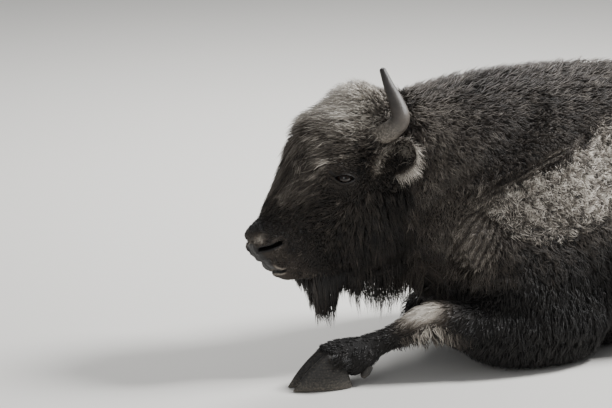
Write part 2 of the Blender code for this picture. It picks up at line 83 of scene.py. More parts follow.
def addNode(tree, kind, inputs=None, stops=(), **settings):
    node = tree.nodes.new("ShaderNode" + kind)
    for name, value in settings.items():
        setattr(node, name, value)
    setInputs(tree, node, inputs or {})
    if stops:
        ramp = node.color_ramp.elements
        while len(ramp) < len(stops):
            ramp.new(0.5)
        for element, (place, colour) in zip(ramp, stops):
            element.position = place
            element.color = linear(colour)
    return node


def newMaterial(name):
    material = bpy.data.materials.new(name)
    material.use_nodes = True
    tree = material.node_tree
    tree.nodes.clear()
    shader = addNode(tree, "BsdfPrincipled")
    addNode(tree, "OutputMaterial", {"Surface": shader})
    return material, tree, shader


def addObject(name, data):
    thing = bpy.data.objects.new(name, data)
    scene.collection.objects.link(thing)
    return thing


def newPiece(name, mesh, material):
    mesh.name = name
    mesh.materials.append(material)
    piece = addObject(name, mesh)
    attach(piece, "root")
    return piece


def finishMesh(shape):
    mesh = bpy.data.meshes.new("shape")
    shape.to_mesh(mesh)
    shape.free()
    mesh.polygons.foreach_set("use_smooth", np.ones(len(mesh.polygons), bool))
    return mesh


def bakedMesh(piece):
    # the mesh with its modifiers applied; the piece itself goes
    graph = bpy.context.evaluated_depsgraph_get()
    mesh = bpy.data.meshes.new_from_object(piece.evaluated_get(graph), preserve_all_data_layers=True,
                                           depsgraph=graph)
    bpy.data.objects.remove(piece)
    return mesh


def splitLarge(shape):
    # faces of more than four corners become triangles
    bmesh.ops.triangulate(shape, faces=[patch for patch in shape.faces if len(patch.verts) > 4])


def bridgeRings(shape, rings):
    # a wall from each ring to the next, closed at both ends
    for first, second in zip(rings, rings[1:]):
        edges = {edge for vertex in first + second for edge in vertex.link_edges
                 if all(v in first for v in edge.verts) or all(v in second for v in edge.verts)}
        bmesh.ops.bridge_loops(shape, edges=list(edges))
    bmesh.ops.holes_fill(shape, edges=[edge for edge in shape.edges if edge.is_boundary], sides=0)


def easeShape(shape, factor):
    bmesh.ops.smooth_vert(shape, verts=shape.verts, factor=factor, use_axis_x=True, use_axis_y=True,
                          use_axis_z=True)


def treeOf(places):
    tree = KDTree(len(places))
    for number, place in enumerate(places):
        tree.insert(place, number)
    tree.balance()
    return tree


def smoothStep(low, high, value):
    part = np.clip((value - low) / (high - low), 0, 1)
    return part * part * (3 - 2 * part)


def between(first, second, share):
    return first * (1 - share) + second * share


def bell(gap, width):
    return np.exp(-(gap / width) ** 2)


def near(value, centre, reach):
    # 1 at the centre, falling softly to 0 at the reach
    return bell(value - centre, reach * 0.6)


stage = {"target": (-0.958, 0.0, 0.438), "turn": -20.0, "rise": 14.0, "distance": 9.0, "lens": 197.5,
         "floorSize": 60.0, "floorColour": "#d9d7d2", "skyColour": "#eef0f4", "sky": 0.34,
         # place, size and power of each lamp
         "lamps": {"key": ((2.4, -0.5, 3.6), 1.3, 430.0), "back": ((0.4, 3.0, 3.6), 2.0, 190.0),
                   "fill": ((-4.2, -4.0, 2.2), 3.5, 60.0)},
         "lampTarget": (-0.5, 0.0, 0.4)}
floorGap = 0.0015      # the floor lies this far below Z = 0, and the hide ends this far above it


def buildStage():
    turn = math.radians(stage["turn"])
    rise = math.radians(stage["rise"])
    back = Vector((math.sin(turn) * math.cos(rise), -math.cos(turn) * math.cos(rise), math.sin(rise)))
    data = bpy.data.cameras.new("camera")
    data.lens = stage["lens"]
    data.sensor_width = 36.0
    data.clip_end = 200.0
    camera = addObject("camera", data)
    camera.location = Vector(stage["target"]) + back * stage["distance"]
    camera.rotation_euler = back.to_track_quat("Z", "Y").to_euler()
    scene.camera = camera

    shape = bmesh.new()
    bmesh.ops.create_grid(shape, x_segments=1, y_segments=1, size=stage["floorSize"] / 2)
    floor = addObject("floor", finishMesh(shape))
    floor.location.z = -floorGap
    material, tree, shader = newMaterial("matt studio floor")
    setInputs(tree, shader, {"Base Color": linear(stage["floorColour"]), "Roughness": 0.9})
    floor.data.materials.append(material)

    world = bpy.data.worlds.new("studio")
    world.use_nodes = True
    sky = {"Color": linear(stage["skyColour"]), "Strength": stage["sky"]}
    setInputs(world.node_tree, world.node_tree.nodes["Background"], sky)
    scene.world = world
    for name, (place, size, power) in stage["lamps"].items():
        data = bpy.data.lights.new(name, "AREA")
        data.shape = "DISK"
        data.size = size
        data.energy = power
        lamp = addObject(name, data)
        lamp.location = place
        lamp.rotation_euler = (Vector(place) - Vector(stage["lampTarget"])).to_track_quat("Z", "Y").to_euler()


buildStage()
print("stage: floor, camera and soft lights")

# the head's own axes: forward along the face, up from it, and to its left
eyeLeft = sum(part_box("eye_left"), Vector()) / 2
eyeRight = sum(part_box("eye_right"), Vector()) / 2
headLeft = (eyeLeft - eyeRight).normalized()
headForward = Vector((-0.588, -0.238, -0.773))
headForward = (headForward - headLeft * headForward.dot(headLeft)).normalized()
headUp = headForward.cross(headLeft)
eyePlace = Vector((0.170, 0.045, 0.108))      # along the face, up from it, to the left
headOrigin = (eyeLeft + eyeRight) / 2 - headForward * eyePlace.x - headUp * eyePlace.y
headAxes = np.array((headForward, headUp, headLeft))


def onHead(along, up, left):
    return headOrigin + headForward * along + headUp * up + headLeft * left


def headPlaces(points):
    # columns along, up and left
    return (points - np.array(headOrigin)) @ headAxes.T


def eyeGap(along, up):
    return np.linalg.norm(np.stack([along - eyePlace.x, up - eyePlace.y], 1), axis=1)


def fromEyes(along, up, left):
    return np.linalg.norm(np.stack([along, up, np.abs(left)], 1) - eyePlace, axis=1)


def readItems(items, key, width=3, kind=float):
    values = np.empty(len(items) * width, kind)
    items.foreach_get(key, values)
    return values.reshape(-1, width)


def readPoints(mesh):
    return readItems(mesh.vertices, "co")


def readNormals(mesh):
    return readItems(mesh.vertex_normals, "vector")


def writePoints(mesh, points):
    mesh.vertices.foreach_set("co", points.ravel())
    mesh.update()


def readEdges(mesh):
    return readItems(mesh.edges, "vertices", 2, np.int64)


def areaOf(triangles):
    first, second = triangles[:, 1] - triangles[:, 0], triangles[:, 2] - triangles[:, 0]
    return np.linalg.norm(np.cross(first, second), axis=1) / 2


def spread(values, edges, rounds, share=0.5):
    # each vertex takes a share of the mean of its neighbours
    values = np.array(values, float)
    flat = values.ndim == 1
    if flat:
        values = values[:, None]
    first, second = edges[:, 0], edges[:, 1]
    count = len(values)
    links = np.maximum(np.bincount(first, minlength=count) + np.bincount(second, minlength=count), 1)
    for _ in range(rounds):
        for column in range(values.shape[1]):
            own = values[:, column]
            mean = (np.bincount(first, own[second], count) + np.bincount(second, own[first], count)) / links
            values[:, column] = own + share * (mean - own)
    return values[:, 0] if flat else values


def unit(vectors):
    return vectors / np.maximum(np.linalg.norm(vectors, axis=1, keepdims=True), 1e-9)


def setAttribute(mesh, name, values):
    attribute = mesh.attributes.new(name, "FLOAT", "POINT")
    attribute.data.foreach_set("value", np.asarray(values, np.float32))


fleshNodes = ["trunk", "neck", "head", "tail", "foreleg_left", "foreleg_right", "hindleg_left",
              "hindleg_right", "ear_left", "ear_right"]
trunk, neck, head, tail, foreLeft, foreRight, hindLeft, hindRight, earLeft, earRight = range(10)


def labelTree():
    # places spread over the flesh nodes, each with its node's number
    chance = np.random.default_rng(3)
    places, labels = [], []
    for number, name in enumerate(fleshNodes):
        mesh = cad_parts[name].data
        mesh.calc_loop_triangles()
        triangles = readPoints(mesh)[readItems(mesh.loop_triangles, "vertices", 3, np.int64)]
        size = areaOf(triangles)
        amount = int(size.sum() * 9000) + 400
        chosen = chance.choice(len(triangles), amount, p=size / size.sum())
        spot = np.sqrt(chance.random(amount))[:, None]
        share = chance.random(amount)[:, None]
        triangle = triangles[chosen]
        places.append((1 - spot) * triangle[:, 0] + spot * (1 - share) * triangle[:, 1]
                      + spot * share * triangle[:, 2])
        labels.append(np.full(amount, number))
    return treeOf(np.concatenate(places)), np.concatenate(labels)


labelPlaces, labelNumbers = labelTree()


def bodyLabels(points):
    # the nearest flesh node's number; the ears are shells of their own, so what lies there is head
    label = labelNumbers[[labelPlaces.find(point)[1] for point in points]]
    return np.where(label >= earLeft, head, label)


def lineDistance(first, second, line):
    # distance from each place to a line of points, and how far along it, in two coordinates
    best = np.full(len(first), 9.0)
    part = np.zeros(len(first))
    for number in range(len(line) - 1):
        start = np.array(line[number])
        step = np.array(line[number + 1]) - start
        across = np.stack([first - start[0], second - start[1]], 1)
        share = np.clip(across @ step / (step @ step), 0, 1)
        gap = np.linalg.norm(across - share[:, None] * step, axis=1)
        closer = gap < best
        best[closer] = gap[closer]
        part[closer] = ((number + share) / (len(line) - 1))[closer]
    return best, part


# pale wool over the shoulder blade, with painted light on its upper part, and the short hair of the band in
# front of it, as outlines (x, z)
woolOutline = (
    (-0.525, 0.440), (-0.503, 0.464), (-0.476, 0.487), (-0.438, 0.507), (-0.384, 0.529), (-0.345, 0.544),
    (-0.306, 0.560), (-0.267, 0.574), (-0.232, 0.587), (-0.201, 0.606), (-0.180, 0.625), (-0.152, 0.643),
    (-0.120, 0.653), (-0.078, 0.633), (-0.078, 0.565), (-0.119, 0.466), (-0.166, 0.407), (-0.242, 0.380),
    (-0.301, 0.348), (-0.352, 0.346), (-0.420, 0.370), (-0.457, 0.366), (-0.490, 0.402), (-0.506, 0.411))
bandOutline = (
    (-0.599, 0.290), (-0.612, 0.371), (-0.585, 0.432), (-0.549, 0.475), (-0.490, 0.508), (-0.436, 0.543),
    (-0.364, 0.578), (-0.286, 0.613), (-0.214, 0.634), (-0.201, 0.606), (-0.267, 0.574), (-0.345, 0.544),
    (-0.438, 0.507), (-0.503, 0.464), (-0.525, 0.440), (-0.506, 0.411), (-0.486, 0.371), (-0.516, 0.330),
    (-0.550, 0.290), (-0.585, 0.270))


def patchy(points, size):
    # smooth random patches of about that size, from -1 to 1
    return np.array([noise.noise(place) for place in (points / size).tolist()])


def outlineDepth(points, outline):
    # metres inside a closed outline on either flank, below 0 outside it
    x, y, z = points.T
    gap, _ = lineDistance(x, z, outline + outline[:1])
    inside = np.zeros(len(points), bool)
    for start, end in zip(outline, outline[1:] + outline[:1]):
        crosses = (start[1] > z) != (end[1] > z)
        share = (z - start[1]) / (end[1] - start[1] + 1e-12)
        inside ^= crosses & (x < start[0] + share * (end[0] - start[0]))
    flank = np.maximum(0.17 - np.abs(y), 0) * 0.5
    return np.where(inside, gap, -gap) - flank + 0.012 * patchy(points, 0.030)


def coatDepth(points, normals, label):
    # metres of hair between the hide and the outline
    x, _, z = points.T
    along, up, left = headPlaces(points).T
    body = label <= neck
    depth = np.full(len(points), 0.020)
    depth = np.where(label == trunk, 0.017 + 0.012 * smoothStep(0.66, 0.76, z), depth)
    throat = 0.024 * smoothStep(0.38, 0.26, z)
    depth = np.where(label == neck, 0.019 + 0.014 * smoothStep(0.62, 0.74, z) + throat, depth)
    band = smoothStep(-0.006, 0.018, outlineDepth(points, bandOutline))
    depth = np.where(body, between(depth, 0.0042, band), depth)
    wool = smoothStep(-0.004, 0.012, outlineDepth(points, woolOutline))
    depth = np.where(body, between(depth, 0.016, wool), depth)
    # the head: deep on the crown and under the jaw, short on the muzzle and round the eyes
    skull = 0.012 + 0.013 * smoothStep(0.13, 0.02, along) + 0.012 * smoothStep(-0.02, -0.11, up)
    skull += 0.010 * smoothStep(0.22, 0.10, along) * smoothStep(0.10, 0.17, up)
    skull += 0.016 * (smoothStep(0.10, 0.0, along) * smoothStep(0.02, 0.10, up))
    skull += 0.022 * smoothStep(0.345, 0.27, z) * smoothStep(0.42, 0.36, along)
    skull = between(skull, 0.0035, smoothStep(0.28, 0.40, along))
    bare = smoothStep(0.075, 0.030, eyeGap(along, up)) * smoothStep(0.05, 0.09, np.abs(left))
    depth = np.where(label == head, between(skull, 0.0035, bare), depth)
    upper = smoothStep(-0.66, -0.54, x) * (label == foreLeft)
    upper += smoothStep(-0.30, -0.36, x) * (label == foreRight)
    lower = smoothStep(-0.80, -0.86, x) * (label == foreLeft)
    legs = (label == foreLeft) | (label == foreRight)
    depth = np.where(legs, 0.0065 + 0.0105 * upper - 0.003 * lower, depth)
    legs = (label == hindLeft) | (label == hindRight)
    depth = np.where(legs, 0.006 + 0.012 * smoothStep(0.10, 0.26, z), depth)
    depth = np.where(label == tail, 0.010 + 0.010 * smoothStep(0.30, 0.12, z), depth)
    depth[label >= earLeft] = 0.0035
    floorSide = smoothStep(0.05, 0.012, z) * smoothStep(0.2, -0.6, normals[:, 2])
    return depth * (1 - 0.75 * floorSide)


hide = {"voxel": 0.006, "grow": 0.0008, "smoothing": 5, "pulls": 5, "bodyTriangles": 44000, "weld": 0.00002,
        # bony bosses that the horns grow from: along, up, left, radius
        "bosses": ((0.034, 0.033, 0.058, 0.033), (0.027, 0.027, 0.084, 0.032), (0.021, 0.021, 0.106, 0.030)),
        # creases and hollows on both flanks: points (x, z), width, depth
        "folds": [(((-0.74, 0.36), (-0.61, 0.486), (-0.48, 0.575), (-0.353, 0.662)), 0.026, 0.020),
                  (((-0.19, 0.58), (-0.13, 0.42), (-0.15, 0.26)), 0.055, 0.014),
                  (((0.66, 0.66), (0.56, 0.50), (0.50, 0.36)), 0.075, 0.018),
                  (((0.42, 0.34), (0.56, 0.30), (0.70, 0.36)), 0.030, 0.010)],
        "wrinkleWide": 0.0040, "wrinkleDeep": 0.0052,
        # rounds of smaller faces: near the eye, from where along the muzzle, near its lines, and in the band
        "refine": ((0.040, 0.385, 0.030, -0.012), (0.031, 0.9, 0.021, -0.006), (0.025, 0.9, 0.0, 0.9))}
# fine wrinkles in the short hair of the band
wrinkles = [
    ((-0.317, 0.563), (-0.383, 0.536), (-0.437, 0.512), (-0.491, 0.490), (-0.544, 0.462)),
    ((-0.306, 0.582), (-0.366, 0.558), (-0.436, 0.527), (-0.490, 0.502), (-0.549, 0.470)),
    ((-0.355, 0.576), (-0.421, 0.546), (-0.476, 0.517), (-0.528, 0.489)),
    ((-0.383, 0.580), (-0.448, 0.549), (-0.516, 0.512)),
    ((-0.534, 0.451), (-0.572, 0.419), (-0.603, 0.379)),
    ((-0.530, 0.436), (-0.564, 0.404), (-0.594, 0.360), (-0.602, 0.301)),
    ((-0.523, 0.424), (-0.556, 0.386), (-0.582, 0.340), (-0.592, 0.294)),
    ((-0.516, 0.414), (-0.547, 0.370), (-0.569, 0.327), (-0.581, 0.285)),
    ((-0.503, 0.401), (-0.534, 0.358), (-0.556, 0.314), (-0.566, 0.280)),
    ((-0.491, 0.386), (-0.519, 0.345), (-0.541, 0.303))]


def wrinkleDip(points):
    # 1 in a crease of the band, a little below 0 on the ridges beside it
    x, y, z = points.T
    gap = np.min([lineDistance(x, z, line)[0] for line in wrinkles], axis=0) / hide["wrinkleWide"]
    dip = np.exp(-gap ** 2) - 0.45 * np.exp(-(gap - 1.7) ** 2)
    return dip * smoothStep(0.12, 0.20, np.abs(y)) * (x < -0.25)


def wrinkleWay(points):
    # the way, in x and z, that the nearest wrinkle runs
    x, _, z = points.T
    starts = np.array([place for line in wrinkles for place in line[:-1]])
    ends = np.array([place for line in wrinkles for place in line[1:]])
    nearest = np.argmin([lineDistance(x, z, pair)[0] for pair in zip(starts, ends)], axis=0)
    way = unit(ends - starts)[nearest]
    return np.stack([way[:, 0], np.zeros(len(way)), way[:, 1]], 1)


def joinedFlesh():
    shape = bmesh.new()
    for name in fleshNodes[:earLeft]:
        shape.from_mesh(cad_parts[name].data)
    for a, u, l, radius in hide["bosses"]:
        for side in (1, -1):
            bmesh.ops.create_icosphere(shape, subdivisions=3, radius=radius,
                                       matrix=Matrix.Translation(onHead(a, u, l * side)))
    bmesh.ops.remove_doubles(shape, verts=shape.verts, dist=hide["weld"])
    shape.normal_update()
    moves = [vertex.normal * hide["grow"] for vertex in shape.verts]
    for vertex, move in zip(shape.verts, moves):
        vertex.co += move
    piece = addObject("flesh", finishMesh(shape))
    remesh = piece.modifiers.new("one hide", "REMESH")
    remesh.mode = "VOXEL"
    remesh.voxel_size = hide["voxel"]
    smooth = piece.modifiers.new("soft", "SMOOTH")
    smooth.factor = 0.5
    smooth.iterations = hide["smoothing"]
    return bakedMesh(piece)


def pullIn(mesh):
    # the hide lies inside the outline by the coat's depth
    edges = readEdges(mesh)
    points = readPoints(mesh)
    label = bodyLabels(points)
    depth = spread(coatDepth(points, readNormals(mesh), label), edges, 14)
    softness = np.clip(depth / 0.03, 0, 1)[:, None]
    for _ in range(hide["pulls"]):
        points = points - readNormals(mesh) * depth[:, None] / hide["pulls"]
        points += softness * (spread(points, edges, 2) - points)
        writePoints(mesh, points)
    normals = readNormals(mesh)
    body = smoothStep(0.45, 0.75, np.abs(normals[:, 1])) * (label != head) * (label < earLeft)
    for line, width, deep in hide["folds"]:
        gap, _ = lineDistance(points[:, 0], points[:, 2], line)
        push = -deep * bell(gap, width) + 0.45 * deep * bell(gap - width * 2.0, width)
        points = points + normals * (push * body)[:, None]
    writePoints(mesh, points)
    return label


def thinBody(mesh, label):
    # keeps the head's fine mesh and thins the rest
    along = headPlaces(readPoints(mesh))[:, 0]
    keep = (label == head) & (along > -0.02) | (label >= earLeft)
    piece = addObject("hide", mesh)
    group = piece.vertex_groups.new(name="body")
    group.add(np.nonzero(~keep)[0].tolist(), 1.0, "REPLACE")
    wanted = 2 * int(keep.sum()) + hide["bodyTriangles"]
    thin = piece.modifiers.new("thin", "DECIMATE")
    thin.ratio = min(1.0, wanted / (2 * len(mesh.vertices)))
    thin.vertex_group = group.name
    thin.vertex_group_factor = 1.0
    return bakedMesh(piece)


def refineFace(mesh):
    # smaller faces round the eyes, nostrils, mouth and wrinkles, then all triangles
    shape = bmesh.new()
    shape.from_mesh(mesh)
    for layer in list(shape.verts.layers.deform):
        shape.verts.layers.deform.remove(layer)
    for eyeReach, muzzleStart, lineReach, bandReach in hide["refine"]:
        faces = list(shape.faces)
        places = np.array([patch.calc_center_median() for patch in faces])
        along, up, left = headPlaces(places).T
        fromLines = np.minimum(*(lineDistance(along, up, face[line])[0] for line in ("nostril", "mouth")))
        chosen = (fromEyes(along, up, left) < eyeReach) | (along > muzzleStart)
        chosen |= (fromLines < lineReach) & (along > 0.35)
        chosen |= (outlineDepth(places, bandOutline) > bandReach) & (along < -0.1)
        edges = {edge for number in np.nonzero(chosen)[0] for edge in faces[number].edges}
        bmesh.ops.subdivide_edges(shape, edges=list(edges), cuts=1, use_grid_fill=True)
    bmesh.ops.triangulate(shape, faces=shape.faces)
    return finishMesh(shape)


# sizes in metres, in the head's axes
face = {"eyeRadius": 0.0195, "lid": 0.0030, "slitHalf": 0.0262, "upperLid": 0.0108, "lowerLid": 0.0088,
        "gaze": (0.26, 0.16, 0.95), "slit": (0.47, 0.81),
        "nostril": ((0.440, 0.133), (0.429, 0.1205), (0.4155, 0.1095), (0.399, 0.1005)),
        "nostrilDepth": 0.017,
        "mouth": ((0.461, 0.104), (0.4635, 0.087), (0.4655, 0.070), (0.461, 0.053), (0.448, 0.041)),
        "mouthDepth": 0.008,
        # broad forms under the hair: height, place and reach along, the same upwards, sideways start and end
        "forms": (
            (0.006, 0.150, 0.045, 0.085, 0.030, 0.06, 0.09), (0.005, 0.235, 0.060, 0.030, 0.025, 0.05, 0.08),
            (-0.006, 0.290, 0.060, 0.060, 0.040, 0.04, 0.07),
            (-0.005, 0.235, 0.050, -0.030, 0.020, 0.04, 0.07),
            (0.004, 0.120, 0.070, -0.080, 0.050, 0.05, 0.08), (0.005, 0.405, 0.022, 0.163, 0.018, -1, 0),
            (-0.004, 0.426, 0.012, 0.160, 0.014, -1, 0), (0.004, 0.428, 0.016, 0.146, 0.010, 0.012, 0.022),
            (0.004, 0.455, 0.030, 0.030, 0.022, -1, 0), (-0.009, 0.462, 0.022, 0.098, 0.022, -1, 0),
            (0.008, 0.472, 0.016, 0.056, 0.015, -1, 0))}


def eyeFrame(side):
    # centre, outward axis, slit axis towards the nose, and up
    centre = onHead(eyePlace.x, eyePlace.y, eyePlace.z * side)
    ahead, above, outwards = face["gaze"]
    out = (headForward * ahead + headUp * above + headLeft * outwards * side).normalized()
    slit = headForward * face["slit"][0] + headUp * face["slit"][1]
    slit = (slit - out * slit.dot(out)).normalized()
    return centre, out, slit, out.cross(slit) * side


def eyePlaces(points, side):
    centre, out, slit, top = eyeFrame(side)
    return (points - np.array(centre)) @ np.array((slit, top, out)).T


def lidOpening(u, v):
    # below 0 inside the eye's opening, in metres
    part = np.clip(np.abs(u) / face["slitHalf"], 0, 1)
    curve = 1 - part ** 2.2
    height = np.where(v > 0, face["upperLid"], face["lowerLid"]) * curve
    inside = np.abs(v) - height
    return np.where(np.abs(u) > face["slitHalf"], np.abs(u) - face["slitHalf"] + np.abs(v), inside)


def sculptEyes(points):
    radius = face["eyeRadius"]
    cap = radius + face["lid"]
    bend = 0.72 * cap
    softness = 0.004
    for side in (1, -1):
        u, v, w = eyePlaces(points, side).T
        reach = np.hypot(u, v)
        dome = np.sqrt(np.maximum(cap ** 2 - np.minimum(reach, bend) ** 2, 0))
        dome -= np.maximum(reach - bend, 0) * 0.85
        opening = lidOpening(u, v)
        # thick rims, a crease over the upper lid and softer ones under the lower
        rim = 0.0016 * bell(opening - 0.0022, 0.0018)
        crease = -0.0024 * bell(opening - 0.0095, 0.0022) * (v > 0.002)
        crease -= 0.0016 * bell(opening - 0.0085, 0.0020) * (v < -0.002)
        crease -= 0.0013 * bell(opening - 0.0160, 0.0022) * (v < -0.002)
        raised = softness * np.logaddexp(w / softness, dome / softness) + rim + crease
        sunk = np.sqrt(np.maximum(radius ** 2 - np.minimum(reach, radius * 0.98) ** 2, 0)) - 0.0045
        target = between(raised, np.minimum(sunk, raised), smoothStep(0.0006, -0.0006, opening))
        # the groove that runs from the inner corner down the face
        tear = lineDistance(u, v, ((0.020, -0.001), (0.032, -0.008), (0.045, -0.022)))[0]
        target = target - 0.0030 * bell(tear, 0.0035) * (u > 0.018)
        zone = (reach < 0.055) & (w > -0.022)
        move = np.where(zone, (target - w) * smoothStep(0.052, 0.030, reach), 0)
        points = points + move[:, None] * np.array(eyeFrame(side)[1])
    return points


def sculptMuzzle(points, normals):
    along, up, left = headPlaces(points).T
    muzzle = along > 0.30
    gap, part = lineDistance(along, up, face["nostril"])
    wide = 0.0046 * (1 - part) + 0.0064 * part
    sideways = smoothStep(0.014, 0.026, np.abs(left))
    hole = np.clip(1 - (gap / wide) ** 2, 0, 1) ** 0.6 * sideways * muzzle
    rim = bell(gap - wide - 0.006, 0.005) * sideways * muzzle * (0.4 + 0.6 * (up > 0.13))
    move = normals * (0.0055 * rim)[:, None]
    inward = -(normals * 0.6 + headAxes[0] * 0.3 + np.sign(left)[:, None] * headAxes[2] * 0.4)
    move += inward * (face["nostrilDepth"] * hole)[:, None]
    gap, part = lineDistance(along, up, face["mouth"])
    slit = bell(gap, 0.0026) * smoothStep(1.0, 0.75, part) * muzzle
    lips = bell(gap - 0.0085, 0.0050) * smoothStep(1.0, 0.7, part) * muzzle
    move += normals * (0.0036 * lips - face["mouthDepth"] * slit)[:, None]
    # a shallow groove between the nostrils, down to the lip
    middle = bell(left, 0.0035) * smoothStep(0.44, 0.455, along) * (up > 0.06)
    return points + move - normals * (0.0016 * middle)[:, None]


def earPlaces(points, side):
    # columns: part of the length from the root, across, and towards the open side
    root, tip = (onHead(along, up, left * side) for along, up, left in ear["ends"])
    length = tip - root
    facing = headForward * 0.62 + headLeft * side * 0.58 + headUp * 0.38
    facing = (facing - length * (facing.dot(length) / length.length_squared)).normalized()
    across = length.normalized().cross(facing)
    local = (points - np.array(root)) @ np.array((length.normalized(), across, facing)).T
    local[:, 0] /= length.length
    return local, np.array(length.normalized()), np.array(facing), np.array(across)


ear = {"sides": 40, "loops": 34, "ends": ((0.100, -0.046, 0.073), (0.008, -0.051, 0.195)),
       # part of its length, half width, how far the back stands out, how deep the cup is
       "rows": ((-0.18, 0.018, 0.017, -0.017), (0.0, 0.021, 0.020, -0.019), (0.14, 0.028, 0.025, -0.002),
                (0.26, 0.035, 0.030, 0.016), (0.38, 0.041, 0.033, 0.027), (0.50, 0.045, 0.034, 0.030),
                (0.62, 0.045, 0.031, 0.027), (0.74, 0.040, 0.026, 0.021), (0.84, 0.031, 0.019, 0.014),
                (0.91, 0.019, 0.011, 0.007), (0.955, 0.008, 0.005, 0.002))}
ear["rows"] = np.array(ear["rows"])


def earShell(side):
    # a thin cup of skin, open forwards and outwards, with a rolled root inside the head
    _, lengthWay, facing, across = earPlaces(np.zeros((1, 3)), side)
    root, tip = (onHead(along, up, left * side) for along, up, left in ear["ends"])
    total = (tip - root).length
    root = np.array(root)
    rows = ear["rows"]
    fine = np.linspace(rows[0, 0], rows[-1, 0], ear["loops"])
    wide, back, cup = (np.interp(fine, rows[:, 0], rows[:, column]) for column in (1, 2, 3))
    shape = bmesh.new()
    rings = []
    for part, w, b, c in zip(fine, wide, back, cup):
        made = bmesh.ops.create_circle(shape, segments=ear["sides"], radius=1.0)["verts"]
        for vertex in made:
            turn = math.atan2(vertex.co.y, vertex.co.x)
            deep = -b * abs(math.sin(turn)) if turn < 0 else -c * abs(math.sin(turn)) ** 0.8
            ridge = 0.0010 * math.cos(math.cos(turn) * 9.0) * smoothStep(0.3, 0.5, part) if turn > 0 else 0.0
            sweep = w * math.cos(turn) * (0.93 if turn > 0 else 1.0)      # the front rim curls in a little
            vertex.co = Vector(root + lengthWay * (part * total) + across * sweep + facing * (deep + ridge))
        rings.append(made)
    bridgeRings(shape, rings)
    easeShape(shape, 0.4)
    bmesh.ops.triangulate(shape, faces=shape.faces)
    bmesh.ops.recalc_face_normals(shape, faces=shape.faces)
    return finishMesh(shape)


def addEars(mesh, label):
    shape = bmesh.new()
    shape.from_mesh(mesh)
    for side, number in ((1, earLeft), (-1, earRight)):
        before = len(shape.verts)
        shape.from_mesh(earShell(side))
        label = np.concatenate([label, np.full(len(shape.verts) - before, number)])
    return finishMesh(shape), label


def sculptHead(points, normals):
    # brow, cheekbone, jaw muscle, nostril wings, lips and the dip of the nose
    along, up, left = headPlaces(points).T
    form = -0.006 * near(along, 0.352, 0.045) * smoothStep(0.13, 0.17, up)
    for height, place, reach, level, tall, start, end in face["forms"]:
        beside = smoothStep(start, end, np.abs(left))
        form += height * near(along, place, reach) * near(up, level, tall) * beside
    return points + normals * form[:, None]


def buildHide():
    mesh = joinedFlesh()
    mesh = refineFace(thinBody(mesh, pullIn(mesh)))
    points = readPoints(mesh)
    label = bodyLabels(points)
    edges = readEdges(mesh)
    along, up, left = headPlaces(points).T
    # the halved faces are eased into curves before the fine work
    fine = ((along > 0.34) | (fromEyes(along, up, left) < 0.055)) & (label == head)
    fine |= (outlineDepth(points, bandOutline) > -0.02) & (label <= neck)
    points[fine] = spread(points, edges, 4)[fine]
    blunt = fine & (along > 0.415) & (label == head)
    points[blunt] = spread(points, edges, 9)[blunt]
    tip = smoothStep(0.115, 0.145, up) * smoothStep(0.415, 0.435, along) * blunt
    points += (spread(points, edges, 34) - points) * tip[:, None]
    writePoints(mesh, points)
    headOnly = (label == head)[:, None]
    points = sculptHead(points, readNormals(mesh) * headOnly)
    writePoints(mesh, points)
    points += (sculptMuzzle(points, readNormals(mesh)) - points) * headOnly
    points += (sculptEyes(points) - points) * headOnly
    normals = readNormals(mesh)
    flank = smoothStep(0.25, 0.55, np.abs(normals[:, 1])) * (label <= neck)
    points -= normals * (hide["wrinkleDeep"] * wrinkleDip(points) * flank)[:, None]
    points[:, 2] = np.maximum(points[:, 2], floorGap)
    writePoints(mesh, points)
    return addEars(mesh, label)


hideMesh, hideLabel = buildHide()
print(f"hide: {len(hideMesh.polygons)} triangles")

# markings and some painted light and shade, shared by hide and coat: 0 is blackish brown, 1 is pale straw
patches = [      # centre, reach, tone added
    ((-0.680, -0.13, 0.680), (0.040, 0.10, 0.070), 0.26), ((-0.680, 0.13, 0.680), (0.040, 0.10, 0.070), 0.26),
    ((-0.60, 0.0, 0.76), (0.16, 0.20, 0.08), -0.10), ((0.10, 0.0, 0.79), (0.50, 0.14, 0.08), 0.05),
    # the near knee is pale hair with a painted highlight; the two dark patches low on the near flank by the
    # elbow are painted shade, and the light one on the near chest is painted light where the neck's shadow
    # falls
    ((-0.742, -0.27, 0.203), (0.074, 0.12, 0.056), 1.3), ((-0.42, -0.30, 0.13), (0.20, 0.20, 0.14), -0.12),
    ((-0.60, -0.20, 0.27), (0.12, 0.18, 0.06), 0.16), ((-0.24, -0.30, 0.15), (0.12, 0.20, 0.11), -0.12)]


